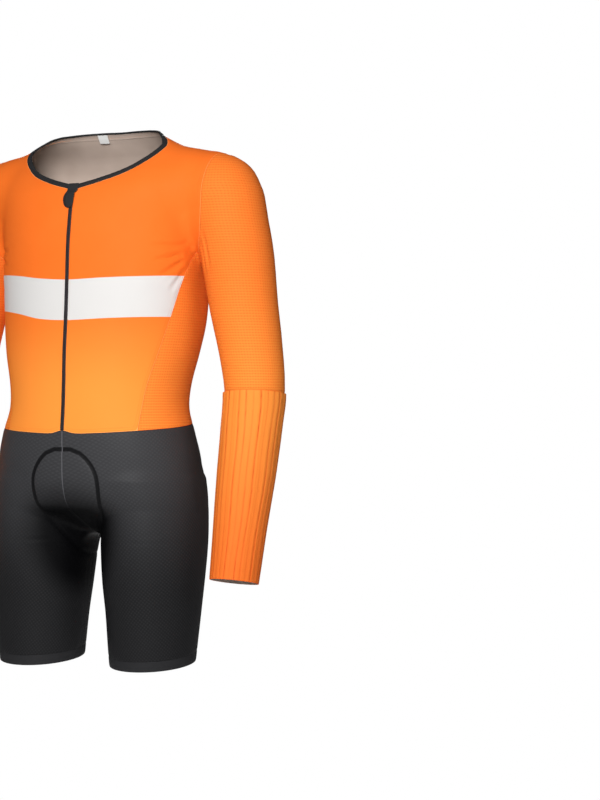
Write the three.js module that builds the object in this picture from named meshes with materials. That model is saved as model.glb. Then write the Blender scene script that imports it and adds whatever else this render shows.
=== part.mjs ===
// Time trial skinsuit in its worn form, with nobody in it.
// Millimetres, +Z up. The chest faces -Y and the wearer's left side is +X.
// The origin lies between the shoulders at the base of the neck, where the wearer holds the suit up.
import * as THREE from "three";

// Driving sizes of the cut
const WALL = 1.4; // stands in for stretch knit about 0.6 mm thick
const SEAM_GAP = 0.3; // clear space between two pieces that are sewn together
const HALF_GAP = SEAM_GAP / 2;
const WAIST = { frontZ: -468, backZ: -445, peak: 5, peakHalfWidth: 14 };
// Angles round the waist, from the centre front
const SIDE_PANEL = { frontAngle: 55, middleAngle: 90, backAngle: 109 };
const ARMHOLE = { centreY: 20, centreZ: -112, sideFrontAngle: 163, sideBackAngle: 203 };
const NECK = { centreY: 20, sideAngle: 92 };
const CROTCH = { y: 8, z: -555 };
// Shares of the arm's line, which runs from inside the shoulder to past the cuff
const ELBOW_SEAM = 0.515;
const CUFF = 0.938;
// The heights of the yoke's lower seam, and where the saddle's arc leaves it
const YOKE = { centreZ: -527, sideZ: -533, saddleStart: 42 };
// The hem tilts down to the front. Its angles are where the leg's seams meet it, as legPoint counts them.
const HEM = { z: -829, tilt: 5.5, band: 16, inseamAngle: -10, frontAngle: 118, sideAngle: 213, arcAngle: 262 };
const BINDING = { width: 8.5, wall: 2.2, crown: 0.4 };
const ZIP = { width: 4.6, wall: 2, crown: 0.5 };
const RIBS = { count: 28, height: 0.9, flare: 1.8, rings: 6 };
const SLIDER = { top: -95, bottom: -104, halfWidth: 3, under: 0.9, over: 2.3 };
const GARAGE = { wall: 1.3, overBinding: 0.9, overSlider: 2.7, free: 0.5 };
const PAD = { clear: 4.8, wall: 5, columns: 10, rows: 18 };
const LABEL = { width: 16, height: 11, wall: 0.8, clear: 1.9, x: -34, top: 20 };

// Cells along each seam. Two pieces that meet on a seam share its points.
const CELLS = {
  waistFront: 10, sideFront: 2, sideBack: 2, waistBack: 8,
  sideSeam: 11, armhole: 9, shoulder: 3, upperSleeve: 10,
  yokeEnd: 3, yokeSide: 3, yokeCentre: 5, arc: 18, crotchFront: 10, crotchBack: 7, inseamTop: 3, inseam: 8,
  legInner: 6, legOuter: 8,
};

const EVENING_PASSES = 4; // how often a grid's inner points are evened out

const degrees = THREE.MathUtils.degToRad;
const lerp = THREE.MathUtils.lerp;
const vec = (x, y, z) => new THREE.Vector3(x, y, z);

// Turns rows of numbers into rows with named columns.
function table(columns, rows) {
  const names = columns.split(" ");
  return rows.map((row) => Object.fromEntries(names.map((name, i) => [name, row[i]])));
}

// The torso, level by level. Depths run forward and back from the axis at axisY.
const TORSO = table("z halfWidth front back axisY square", [
  [60, 55, 36, 46, 18, 2],
  [30, 76, 38, 54, 18, 2],
  [15, 92, 40, 61, 19, 2],
  [4, 105, 43, 70, 20, 2],
  [-5, 121, 47, 77, 21, 2.05],
  [-15, 141, 53, 85, 22, 2.1],
  [-27, 162, 62, 93, 23, 2.15],
  [-42, 178, 74, 101, 24, 2.2],
  [-60, 184, 90, 107, 25, 2.25],
  [-85, 183, 106, 112, 26, 2.3],
  [-120, 178, 117, 115, 28, 2.3],
  [-170, 173, 125, 114, 29, 2.3],
  [-222, 171, 127, 114, 28, 2.3],
  [-290, 168, 126, 114, 23, 2.25],
  [-340, 161, 121, 113, 14, 2.2],
  [-395, 149, 115, 111, 6, 2.2],
  [-430, 148, 113, 111, 2, 2.2],
  [-468, 159, 112, 121, -2, 2.2],
  [-510, 168, 111, 133, -2, 2.2],
  [-550, 170, 108, 136, -2, 2.15],
  [-580, 156, 94, 122, -2, 2.1],
  [-599, 126, 66, 90, 2, 2],
  [-614, 84, 40, 60, 6, 2],
  [-624, 50, 24, 36, 8, 2],
]);

// The arm's line from inside the shoulder to past the cuff, with its radius.
const ARM = table("x y z radius", [
  [175, 24, -82, 52],
  [209, 25, -93, 60.5],
  [224, 24, -145, 59],
  [237, 22, -200, 57],
  [248, 19, -270, 53.5],
  [261, 17, -340, 49.5],
  [269, 14, -400, 47],
  [268, 4, -460, 47],
  [267, -12, -530, 45],
  [264, -28, -610, 41],
  [262, -44, -690, 37.5],
  [261, -53, -735, 36],
]);

// The thigh, level by level, as an ellipse about its own axis.
const LEG = table("z x y halfWidth halfDepth", [
  [-540, 95, 10, 66, 94],
  [-575, 98, 9, 77, 100],
  [-610, 99, 6, 81, 98],
  [-650, 100, 2, 82, 93],
  [-700, 100.5, -2, 79.5, 86],
  [-750, 101, -4, 74.5, 79],
  [-800, 101, -6, 70, 74],
  [-850, 101, -7, 65.5, 70],
  [-900, 101, -7, 63, 67],
]);

// How softly one limb runs into the next, in mm. The arm leaves the shoulder softly and the armpit sharply.
const BLEND = { shoulder: 34, armpit: 12, shoulderZ: -130, armpitZ: -200, leg: 26, thighs: 22, crotch: 12 };

// Where the armhole lies across the shoulder, by the angle round it.
// 0 is the top, 90 the front, 180 the armpit.
const ARMHOLE_LINE = table("angle x", [
  [0, 213], [45, 205], [90, 199], [130, 194], [150, 186], [168, 177], [180, 175],
  [195, 177], [215, 187], [240, 197], [270, 203], [315, 208], [360, 213],
]);

// The neckline's height, by the angle round the neck: 0 is the centre front, 180 the centre back.
const NECKLINE = table("angle z", [
  [0, -88], [25, -76], [45, -62], [62, -42], [76, -20], [92, 3], [115, 12], [145, 15], [180, 15],
]);

// The front edge of the side panel, by the angle round the torso's axis.
const SIDE_SEAM_FRONT = table("z angle", [
  [-224, 74], [-290, 67], [-349, 63], [-391, 60], [-438, 57],
]);
const SIDE_SEAM_BACK = table("z angle", [[-235, 104], [-300, 106], [-380, 108]]);

// The saddle panel's outer edge, from the yoke round the seat and down the back of the leg to the hem band.
const SADDLE_ARC = table("x y z", [
  [80, 145, -541], [112, 128, -568], [133, 106, -610], [134, 92, -660], [126, 80, -730], [112, 71, -790],
]);

// The pad's outline, along the crotch seam from its front end to its back end. width runs over the cloth
// from the middle to its edge, and place is a share of the seam from the front waist to the yoke.
const PAD_OUTLINE = table("place width", [
  [0.07, 14], [0.09, 34], [0.16, 55], [0.26, 57], [0.36, 50], [0.46, 44],
  [0.56, 46], [0.66, 62], [0.76, 78], [0.86, 78], [0.93, 52], [0.96, 20],
]);

// The garage's outline on the chest, from the top of the zip down.
const GARAGE_OUTLINE = table("z right left", [
  [-78, -9, 9], [-90, -9, 9], [-93, -12, 6], [-100, -14.5, 5.5],
  [-108, -13.5, 5], [-114, -10, 4], [-117, -5, 1],
]);

// The value of every column at one place along a table, on a smooth curve through its rows.
function at(rows, key, place) {
  const rising = rows[0][key] < rows[rows.length - 1][key];
  let k = 0;
  while (k < rows.length - 2 && (rising ? place > rows[k + 1][key] : place < rows[k + 1][key])) k++;
  const a = rows[k];
  const b = rows[k + 1];
  const before = rows[Math.max(k - 1, 0)];
  const after = rows[Math.min(k + 2, rows.length - 1)];
  const t = THREE.MathUtils.clamp((place - a[key]) / (b[key] - a[key]), 0, 1);
  const step = b[key] - a[key];
  const found = {};
  for (const name of Object.keys(a)) {
    const startSlope = ((b[name] - before[name]) / (b[key] - before[key])) * step;
    const endSlope = ((after[name] - a[name]) / (after[key] - a[key])) * step;
    const t2 = t * t;
    const t3 = t2 * t;
    found[name] =
      (2 * t3 - 3 * t2 + 1) * a[name] + (t3 - 2 * t2 + t) * startSlope +
      (-2 * t3 + 3 * t2) * b[name] + (t3 - t2) * endSlope;
  }
  return found;
}

// The smaller of two distances, with their meeting line rounded.
function blended(a, b, softness) {
  const near = Math.max(softness - Math.abs(a - b), 0) / softness;
  return Math.min(a, b) - (near * near * softness) / 4;
}

function torsoField(p) {
  const s = at(TORSO, "z", p.z);
  const depth = p.y < s.axisY ? s.front : s.back;
  const across = Math.pow(Math.abs(p.x) / s.halfWidth, s.square);
  const along = Math.pow(Math.abs(p.y - s.axisY) / depth, s.square);
  const reach = (Math.pow(across + along, 1 / s.square) - 1) * Math.min(s.halfWidth, depth);
  const below = TORSO.at(-1).z - p.z;
  return -blended(-reach, -below, BLEND.crotch);
}

function legField(x, p) {
  const s = at(LEG, "z", p.z);
  const past = Math.max(p.z - LEG[0].z, 0);
  return (Math.hypot((x - s.x) / s.halfWidth, (p.y - s.y) / s.halfDepth) - 1) * s.halfWidth + past;
}

const armCurve = new THREE.CatmullRomCurve3(ARM.map((s) => vec(s.x, s.y, s.z)));
const ARM_STEPS = 33;
const armPoints = armCurve.getPoints(ARM_STEPS).map((centre, i) => {
  const place = (i / ARM_STEPS) * (ARM.length - 1);
  const k = Math.min(Math.floor(place), ARM.length - 2);
  return { centre, radius: lerp(ARM[k].radius, ARM[k + 1].radius, place - k) };
});

function armField(p) {
  let nearest = Infinity;
  const point = vec(Math.abs(p.x), p.y, p.z);
  for (let i = 0; i < armPoints.length - 1; i++) {
    const a = armPoints[i];
    const b = armPoints[i + 1];
    const run = b.centre.clone().sub(a.centre);
    const t = THREE.MathUtils.clamp(point.clone().sub(a.centre).dot(run) / run.lengthSq(), 0, 1);
    const reach = point.distanceTo(run.multiplyScalar(t).add(a.centre)) - lerp(a.radius, b.radius, t);
    nearest = Math.min(nearest, reach);
  }
  return nearest;
}

// Below zero inside the form that fills the suit, above zero outside it.
function field(p) {
  let reach = torsoField(p);
  if (p.z < -500) {
    const legs = blended(legField(p.x, p), legField(-p.x, p), BLEND.thighs);
    reach = blended(reach, legs, BLEND.leg);
  }
  if (Math.abs(p.x) > 110) {
    const up = THREE.MathUtils.smoothstep(p.z, BLEND.armpitZ, BLEND.shoulderZ);
    reach = blended(reach, armField(p), lerp(BLEND.armpit, BLEND.shoulder, up));
  }
  return reach;
}

function slope(p) {
  const h = 0.4;
  const across = (axis) => {
    const ahead = p.clone();
    const behind = p.clone();
    ahead[axis] += h;
    behind[axis] -= h;
    return (field(ahead) - field(behind)) / (2 * h);
  };
  return vec(across("x"), across("y"), across("z"));
}

const normalAt = (p) => slope(p).normalize();

// Moves a point straight on to the form.
function settled(p) {
  const q = p.clone();
  for (let step = 0; step < 12; step++) {
    const reach = field(q);
    if (Math.abs(reach) < 1e-4) break;
    const g = slope(q);
    q.addScaledVector(g, -reach / Math.max(g.lengthSq(), 0.1));
  }
  return q;
}

// The point where a line from inside the form leaves it.
function cast(from, direction) {
  const d = direction.clone().normalize();
  const point = (reach) => from.clone().addScaledVector(d, reach);
  let far = 0;
  while (field(point(far)) < 0 && far < 400) far += 4;
  let near = Math.max(far - 4, 0);
  for (let i = 0; i < 24; i++) {
    const middle = (near + far) / 2;
    if (field(point(middle)) < 0) near = middle;
    else far = middle;
  }
  return point(near);
}

// A seam through a few guide points, as evenly spaced points on the form.
function seam(guides, cells) {
  const curve = new THREE.CatmullRomCurve3(guides, false, "centripetal");
  curve.arcLengthDivisions = 400;
  const points = curve.getSpacedPoints(cells);
  return points.map((p, i) => (i === 0 || i === cells ? p.clone() : settled(p)));
}

const spread = (from, to, cells) => Array.from({ length: cells + 1 }, (_, i) => lerp(from, to, i / cells));
const joined = (...lists) => lists.flatMap((list, i) => (i ? list.slice(1) : list));
const reversed = (list) => [...list].reverse();
const mirrored = (list) => list.map((p) => vec(-p.x, p.y, p.z));

// A point on the torso at a height, by the angle from the centre front round the torso's axis.
function onTorso(angle, z) {
  const axis = vec(0, at(TORSO, "z", z).axisY, z);
  return cast(axis, vec(Math.sin(degrees(angle)), -Math.cos(degrees(angle)), 0));
}

function waistPoint(angle) {
  const middle = (WAIST.frontZ + WAIST.backZ) / 2;
  const tilt = (WAIST.frontZ - WAIST.backZ) / 2;
  const p = onTorso(angle, middle + tilt * Math.cos(degrees(angle)));
  const peak = angle < 90 ? WAIST.peak * Math.exp(-Math.pow(p.x / WAIST.peakHalfWidth, 2)) : 0;
  return settled(p.add(vec(0, 0, peak)));
}

function armholePoint(angle) {
  const from = vec(at(ARMHOLE_LINE, "angle", angle).x, ARMHOLE.centreY, ARMHOLE.centreZ);
  return cast(from, vec(0, -Math.sin(degrees(angle)), Math.cos(degrees(angle))));
}

function neckPoint(angle) {
  const from = vec(0, NECK.centreY, at(NECKLINE, "angle", angle).z);
  return cast(from, vec(Math.sin(degrees(angle)), -Math.cos(degrees(angle)), 0));
}

const frontPoint = (x, z) => cast(vec(x, at(TORSO, "z", z).axisY, z), vec(0, -1, 0));
const backPoint = (x, z) => cast(vec(x, at(TORSO, "z", z).axisY, z), vec(0, 1, 0));

// Walks over the form from a point, straight ahead, and gives where it ends.
function walk(from, direction, distance) {
  const steps = Math.ceil(distance / 4);
  let p = from.clone();
  const ahead = direction.clone();
  for (let step = 0; step < steps; step++) {
    const n = normalAt(p);
    ahead.addScaledVector(n, -ahead.dot(n)).normalize();
    p = settled(p.clone().addScaledVector(ahead, distance / steps));
  }
  return p;
}

// A ring round the arm, square to its line. 0 is the underarm, 90 the front, 180 the outside.
function armRing(share, angles) {
  const centre = armCurve.getPointAt(share);
  const along = armCurve.getTangentAt(share);
  const inward = vec(-1, 0, 0).addScaledVector(along, along.x).normalize();
  const forward = inward.clone().cross(along);
  return angles.map((angle) => cast(centre, inward.clone().multiplyScalar(Math.cos(degrees(angle)))
    .addScaledVector(forward, Math.sin(degrees(angle)))));
}

// A point round the leg, tilted as the hem is.
// 0 is the inner leg, 90 the front, 180 the outside, 270 the back.
function legPoint(angle, rise) {
  const s = at(LEG, "z", HEM.z + rise);
  const slant = Math.tan(degrees(HEM.tilt));
  return cast(vec(s.x, s.y, HEM.z + rise), vec(
    -Math.cos(degrees(angle)), -Math.sin(degrees(angle)), -Math.sin(degrees(angle)) * slant));
}

// The same round the leg at any height, level.
const onLeg = (angle, z) => cast(vec(at(LEG, "z", z).x, at(LEG, "z", z).y, z), vec(
  -Math.cos(degrees(angle)), -Math.sin(degrees(angle)), 0));
const innerLeg = (z) => onLeg(HEM.inseamAngle, z);

// A point under the crotch by the angle from the front round to the back.
const underCrotch = (angle) => cast(vec(0, CROTCH.y, CROTCH.z), vec(0, -Math.cos(degrees(angle)),
  -Math.sin(degrees(angle))));

// Seams of the left half
const waist = {
  front: spread(0, SIDE_PANEL.frontAngle, CELLS.waistFront).map(waistPoint),
  sideFront: spread(SIDE_PANEL.frontAngle, SIDE_PANEL.middleAngle, CELLS.sideFront)
    .map(waistPoint),
  sideBack: spread(SIDE_PANEL.middleAngle, SIDE_PANEL.backAngle, CELLS.sideBack)
    .map(waistPoint),
  back: spread(SIDE_PANEL.backAngle, 180, CELLS.waistBack).map(waistPoint),
};
const armhole = {
  front: spread(ARMHOLE.sideFrontAngle, 0, CELLS.armhole).map(armholePoint),
  under: spread(ARMHOLE.sideFrontAngle, ARMHOLE.sideBackAngle, CELLS.sideFront + CELLS.sideBack)
    .map(armholePoint),
  back: spread(ARMHOLE.sideBackAngle, 360, CELLS.armhole).map(armholePoint),
};
const neck = {
  front: seam(spread(0, NECK.sideAngle, 14).map(neckPoint), CELLS.waistFront),
  back: seam(spread(NECK.sideAngle, 180, 10).map(neckPoint), CELLS.waistBack),
};
const shoulderSeam = seam([neck.front.at(-1), armhole.front.at(-1)], CELLS.shoulder);
const sideSeam = (from, rows, to) => {
  const between = reversed(rows).map((s) => onTorso(s.angle, s.z));
  return seam([from, ...between, walk(to, vec(-1, 0, -0.3), 6), to], CELLS.sideSeam);
};
const sideSeamFront = sideSeam(waist.front.at(-1), SIDE_SEAM_FRONT, armhole.front[0]);
const sideSeamBack = sideSeam(waist.back[0], SIDE_SEAM_BACK, armhole.back[0]);
const CHEST_Z = -215; // the level where the front's cells turn from the side seam to the armhole
const chest = seam(
  [onTorso(0, CHEST_Z), onTorso(25, -213), onTorso(50, -209), onTorso(66, -204), armhole.front[0]],
  CELLS.waistFront);
const centreLow = seam(
  [waist.front[0], ...[-400, -340, -270].map((z) => onTorso(0, z)), chest[0]],
  CELLS.sideSeam);
const centreHigh = seam(
  [chest[0], ...[-180, -140, -110].map((z) => onTorso(0, z)), neck.front[0]],
  CELLS.armhole + CELLS.shoulder);
const centreFront = joined(centreLow, centreHigh);
const yokeCorner = onTorso(SIDE_PANEL.backAngle, YOKE.sideZ);
const yokeEnd = seam([waist.back[0], onTorso(SIDE_PANEL.backAngle, -490), yokeCorner], CELLS.yokeEnd);
const saddleStart = backPoint(YOKE.saddleStart, YOKE.centreZ);
const yokeSide = seam([yokeCorner, onTorso(132, YOKE.sideZ + 1), onTorso(150, YOKE.sideZ + 3), saddleStart],
  CELLS.yokeSide);
const yokeCentre = seam(
  [saddleStart, backPoint(20, YOKE.centreZ), backPoint(0, YOKE.centreZ)],
  CELLS.yokeCentre);
const crotch = underCrotch(90);
const crotchFront = seam(
  [waist.front[0], frontPoint(0, -500), frontPoint(0, -530), underCrotch(20), underCrotch(50), crotch],
  CELLS.crotchFront);
const crotchBack = seam(
  [crotch, underCrotch(130), underCrotch(160), backPoint(0, -550), yokeCentre.at(-1)], CELLS.crotchBack);
const hemPoints = (from, to, cells, rise) => spread(from, to, cells).map((angle) => legPoint(angle, rise));
const hem = (rise) => ({
  inner: hemPoints(HEM.inseamAngle, HEM.frontAngle, CELLS.legInner, rise),
  outer: hemPoints(HEM.frontAngle, HEM.sideAngle, CELLS.legOuter, rise),
  side: hemPoints(HEM.sideAngle, HEM.arcAngle, CELLS.yokeSide, rise),
  back: hemPoints(HEM.arcAngle, HEM.inseamAngle + 360, CELLS.yokeCentre, rise),
});
const hemTop = hem(HEM.band);
const hemBottom = hem(0);
const inseamTop = seam([crotch, innerLeg(-637), innerLeg(-655)], CELLS.inseamTop);
const inseam = joined(
  inseamTop, seam([inseamTop.at(-1), ...[-690, -750, -800].map(innerLeg), hemTop.inner[0]], CELLS.inseam));
const saddleArc = seam(
  [saddleStart, ...SADDLE_ARC.map((s) => settled(vec(s.x, s.y, s.z))), hemTop.back[0]], CELLS.arc);

// Cloth pieces

// Fills the space between four seams, then evens the cells out on the form.
function patch({ bottom, right, top, left }) {
  const columns = bottom.length - 1;
  const rows = left.length - 1;
  if (top.length - 1 !== columns || right.length - 1 !== rows) {
    throw new Error(`sides differ: ${columns} ${top.length - 1} and ${rows} ${right.length - 1}`);
  }
  const mix = (i, j) => {
    const u = i / columns;
    const v = j / rows;
    return vec(0, 0, 0)
      .addScaledVector(left[j], 1 - u).addScaledVector(right[j], u)
      .addScaledVector(bottom[i], 1 - v).addScaledVector(top[i], v)
      .addScaledVector(left[0], -(1 - u) * (1 - v)).addScaledVector(right[0], -u * (1 - v))
      .addScaledVector(left[rows], -(1 - u) * v).addScaledVector(right[rows], -u * v);
  };
  const grid = Array.from({ length: rows + 1 }, (_, j) =>
    Array.from({ length: columns + 1 }, (_, i) => {
      if (j === 0) return bottom[i].clone();
      if (j === rows) return top[i].clone();
      if (i === 0) return left[j].clone();
      if (i === columns) return right[j].clone();
      return settled(mix(i, j));
    }));
  for (let pass = 0; pass < EVENING_PASSES; pass++) {
    for (let j = 1; j < rows; j++) {
      for (let i = 1; i < columns; i++) {
        const around = grid[j][i - 1].clone().add(grid[j][i + 1]).add(grid[j - 1][i]).add(grid[j + 1][i]);
        grid[j][i] = settled(grid[j][i].clone().lerp(around.multiplyScalar(0.25), 0.6));
      }
    }
  }
  return grid;
}

// Joins grids of points into one sheet of cells, welded where they meet.
function sheet(...grids) {
  const points = [];
  const places = [];
  const cells = [];
  const known = new Map();
  for (const grid of grids) {
    const ids = grid.map((line, j) => line.map((p, i) => {
      const key = [p.x, p.y, p.z].map((v) => v.toFixed(3)).join();
      if (!known.has(key)) {
        known.set(key, points.length);
        points.push(p);
        places.push({ i, j });
      }
      return known.get(key);
    }));
    for (let j = 0; j < ids.length - 1; j++) {
      for (let i = 0; i < ids[0].length - 1; i++) {
        cells.push([ids[j][i], ids[j][i + 1], ids[j + 1][i + 1], ids[j + 1][i]]);
      }
    }
  }
  return { points, places, cells };
}

// The edge runs that belong to one cell only, as [from, to], with the cloth on their left.
function edgeRuns(cells) {
  const runs = new Map();
  for (const cell of cells) {
    cell.forEach((a, k) => {
      const b = cell[(k + 1) % 4];
      if (!runs.delete(`${b} ${a}`)) runs.set(`${a} ${b}`, [a, b]);
    });
  }
  return [...runs.values()];
}

// Draws the edges of a sheet in, so that neighbours stay a seam gap apart.
function trimmed({ points, places, cells }, inset = () => HALF_GAP) {
  const moved = [...points];
  const next = new Map(edgeRuns(cells));
  const before = new Map([...next].map(([a, b]) => [b, a]));
  const inward = (a, b) => {
    const middle = points[a].clone().add(points[b]).multiplyScalar(0.5);
    return normalAt(middle).cross(points[b].clone().sub(points[a])).normalize();
  };
  for (const [k, after] of next) {
    const from = before.get(k);
    const a = inward(from, k);
    const b = inward(k, after);
    const drawnBefore = inset(places[from], places[k]);
    const drawnAfter = inset(places[k], places[after]);
    const c = a.dot(b);
    const shift = vec(0, 0, 0);
    if (c > 0.97) {
      shift.add(a).add(b).multiplyScalar((drawnBefore + drawnAfter) / (2 + 2 * c));
    } else {
      shift.addScaledVector(a, (drawnBefore - c * drawnAfter) / (1 - c * c));
      shift.addScaledVector(b, (drawnAfter - c * drawnBefore) / (1 - c * c));
    }
    moved[k] = settled(points[k].clone().add(shift));
  }
  return { points: moved, places, cells };
}

// A tube between two rings, the lower one first. The first and last point of a ring are the same.
function tube(lower, upper, rows) {
  const count = lower.length - 1;
  const around = (line, i) => line[(i + count) % count];
  const grid = spread(0, 1, rows).map((v) =>
    lower.slice(0, count).map((p, i) => p.clone().lerp(upper[i], v)));
  for (let pass = 0; pass < EVENING_PASSES; pass++) {
    for (let j = 1; j < rows; j++) {
      grid[j] = grid[j].map((p, i) => {
        const middle = around(grid[j], i - 1).clone().add(around(grid[j], i + 1))
          .add(grid[j - 1][i]).add(grid[j + 1][i]).multiplyScalar(0.25);
        return settled(pass ? p.clone().lerp(middle, 0.6) : p);
      });
    }
  }
  return grid.map((line) => [...line, line[0]]);
}

// A closed wall from a sheet on the form. lift and depth give how far its two faces lie from the form.
function wall({ points, places, cells }, { lift = () => 0, depth = () => -WALL } = {}) {
  const positions = [];
  for (const reach of [lift, depth]) {
    points.forEach((p, k) => {
      const q = p.clone().addScaledVector(normalAt(p), reach(places[k]));
      positions.push(q.x, q.y, q.z);
    });
  }
  const inner = points.length;
  const faces = [];
  for (const [a, b, c, d] of cells) {
    faces.push(a, b, c, a, c, d);
    faces.push(inner + a, inner + c, inner + b, inner + a, inner + d, inner + c);
  }
  // Both pieces at a seam split its edge faces the same way, so a twisted edge keeps its gap.
  const rank = (k) => Math.abs(positions[3 * k]) + 0.61 * positions[3 * k + 1] + 0.37 * positions[3 * k + 2];
  for (const [a, b] of edgeRuns(cells)) {
    if (rank(a) < rank(b)) faces.push(a, inner + a, inner + b, a, inner + b, b);
    else faces.push(a, inner + a, b, b, inner + a, inner + b);
  }
  const geometry = new THREE.BufferGeometry();
  geometry.setAttribute("position", new THREE.Float32BufferAttribute(positions, 3));
  geometry.setIndex(faces);
  return geometry;
}

const suit = new THREE.Group();

function add(name, geometry, material) {
  geometry.computeVertexNormals();
  const mesh = new THREE.Mesh(geometry, material.clone());
  mesh.name = name;
  suit.add(mesh);
}

// The same geometry on the other side of the suit, turned so that its faces still point out.
function mirroredGeometry(geometry) {
  const other = geometry.clone().scale(-1, 1, 1);
  for (let i = 0; i < other.index.count; i += 3) {
    const second = other.index.getX(i + 1);
    other.index.setX(i + 1, other.index.getX(i + 2));
    other.index.setX(i + 2, second);
  }
  return other;
}

function addPair(name, geometry, material) {
  add(`${name}_left`, geometry, material);
  add(`${name}_right`, mirroredGeometry(geometry), material);
}

const cloth = (color, roughness) => new THREE.MeshStandardMaterial({ color, roughness, metalness: 0 });
const orangeKnit = cloth(0xf5812a, 0.6);
const orangeMesh = cloth(0xf28a3a, 0.65);
const orangeRib = cloth(0xf58b2c, 0.6);
const blackKnit = cloth(0x2c2c2e, 0.55);
const blackTrim = cloth(0x141416, 0.7);
const padFoam = cloth(0x3a3a3c, 0.85);
const whiteTape = cloth(0xeeeeee, 0.8);
const sliderMetal = new THREE.MeshStandardMaterial({ color: 0x3c3c40, roughness: 0.35, metalness: 1 });

// Fronts, side panels and back
const zipClear = ZIP.width / 2 + SEAM_GAP;
const besideZip = (a, b) => (a.i === 0 && b.i === 0 ? zipClear : HALF_GAP);
addPair("front", wall(trimmed(sheet(
  patch({ bottom: waist.front, right: sideSeamFront, top: chest, left: centreLow }),
  patch({
    bottom: chest,
    right: joined(armhole.front, reversed(shoulderSeam)),
    top: neck.front,
    left: centreHigh,
  }),
), besideZip)), orangeKnit);
addPair("side_panel", wall(trimmed(sheet(patch({
  bottom: joined(waist.sideFront, waist.sideBack),
  right: sideSeamBack,
  top: armhole.under,
  left: sideSeamFront,
})), () => 2 * HALF_GAP)), orangeMesh);
add("back", wall(trimmed(sheet(patch({
  bottom: joined(waist.back, reversed(mirrored(waist.back))),
  right: joined(mirrored(sideSeamBack), mirrored(armhole.back), mirrored(reversed(shoulderSeam))),
  top: joined(neck.back, reversed(mirrored(neck.back))),
  left: joined(sideSeamBack, armhole.back, reversed(shoulderSeam)),
})))), orangeKnit);

// Sleeves
const armholeLoop = joined(armhole.front, reversed(armhole.back), reversed(armhole.under));
const loopAngles = joined(
  spread(ARMHOLE.sideFrontAngle, 0, CELLS.armhole),
  spread(0, ARMHOLE.sideBackAngle - 360, CELLS.armhole),
  spread(ARMHOLE.sideBackAngle - 360, ARMHOLE.sideFrontAngle - 360, CELLS.sideFront + CELLS.sideBack),
).map((angle) => 180 - angle);
addPair("sleeve_upper",
  wall(trimmed(sheet(tube(armRing(ELBOW_SEAM, loopAngles), armholeLoop, CELLS.upperSleeve)))), orangeMesh);
const lowerSleeve = spread(CUFF, ELBOW_SEAM, RIBS.rings).map((share) =>
  armRing(share, spread(0, 360, 2 * RIBS.count)));
addPair("sleeve_lower", wall(trimmed(sheet(lowerSleeve)), {
  lift: ({ i, j }) => (i % 2) * RIBS.height + RIBS.flare * Math.pow(j / RIBS.rings, 3),
}), orangeRib);

// Neck binding, zip, slider, garage and size label
const neckLoop = joined(neck.front, neck.back, reversed(mirrored(neck.back)), reversed(mirrored(neck.front)));
const bindingRows = [0, 0.5, 1].map((share) => neckLoop.map((p, i) => {
  if (i === 0 || i === neckLoop.length - 1) {
    const { x, z } = neckLoop[i === 0 ? 1 : i - 1];
    const low = lerp(p.z, z, zipClear / Math.abs(x));
    return frontPoint(Math.sign(x) * zipClear, low + share * BINDING.width);
  }
  return walk(p, normalAt(p).cross(neckLoop[i + 1].clone().sub(neckLoop[i - 1])), share * BINDING.width);
}));
const bindingInset = (a, b) => (a.j === 0 && b.j === 0 ? HALF_GAP : 0);
add("neck_binding", wall(trimmed(sheet(bindingRows), bindingInset), {
  lift: ({ j }) => (j === 1 ? BINDING.crown : 0),
  depth: () => -BINDING.wall,
}), blackTrim);

const zipTop = bindingRows[2][0].z - 0.5;
const zipHeights = [
  waist.front[0].z + HALF_GAP, ...centreFront.slice(1, -1).map((p) => p.z), neck.front[0].z, zipTop,
];
const zipRow = (z) => [-1, 0, 1].map((side) => frontPoint((side * ZIP.width) / 2, z));
add("zip", wall(sheet(zipHeights.map(zipRow)), {
  lift: ({ i }) => (i === 1 ? ZIP.crown : 0),
  depth: () => -ZIP.wall,
}), blackTrim);
add("zip_slider", wall(sheet([SLIDER.bottom, SLIDER.top].map((z) =>
  [-1, 1].map((side) => frontPoint(side * SLIDER.halfWidth, z)))), {
  lift: () => SLIDER.over,
  depth: () => SLIDER.under,
}), sliderMetal);

const garageUnder = ({ i, j }) => {
  if (j >= GARAGE_OUTLINE.length - 2) return GARAGE.overBinding;
  return i === 0 ? GARAGE.free : GARAGE.overSlider;
};
add("zip_garage", wall(sheet(reversed(GARAGE_OUTLINE).map((s) =>
  spread(s.right, s.left, 4).map((x) => frontPoint(x, s.z)))), {
  lift: (place) => garageUnder(place) + GARAGE.wall,
  depth: garageUnder,
}), blackTrim);

add("size_label", wall(sheet([LABEL.top - LABEL.height, LABEL.top].map((z) =>
  [1, 0, -1].map((side) => backPoint(LABEL.x + (side * LABEL.width) / 2, z)))), {
  lift: () => -WALL - LABEL.clear,
  depth: () => -WALL - LABEL.clear - LABEL.wall,
}), whiteTape);

// Legs, yoke, saddle, hem bands and pad
const legTop = joined(waist.front, waist.sideFront, waist.sideBack);
const legMiddle = seam([
  hemTop.outer[0], onLeg(118, -740), onLeg(112, -650),
  onTorso(38, -560), onTorso(35, -510), legTop[CELLS.legInner],
], CELLS.crotchFront + CELLS.inseamTop + CELLS.inseam);
const legSide = seam(
  [hemTop.side[0], onLeg(210, -740), onLeg(206, -650), onTorso(109, -580), yokeCorner], CELLS.arc);
addPair("leg", wall(trimmed(sheet(
  patch({
    bottom: hemTop.inner,
    right: legMiddle,
    top: legTop.slice(0, CELLS.legInner + 1),
    left: joined(reversed(inseam), reversed(crotchFront)),
  }),
  patch({
    bottom: hemTop.outer,
    right: joined(legSide, reversed(yokeEnd)),
    top: legTop.slice(CELLS.legInner),
    left: legMiddle,
  }),
  patch({
    bottom: hemTop.side,
    right: reversed(saddleArc),
    top: yokeSide,
    left: legSide,
  }),
))), blackKnit);
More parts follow.
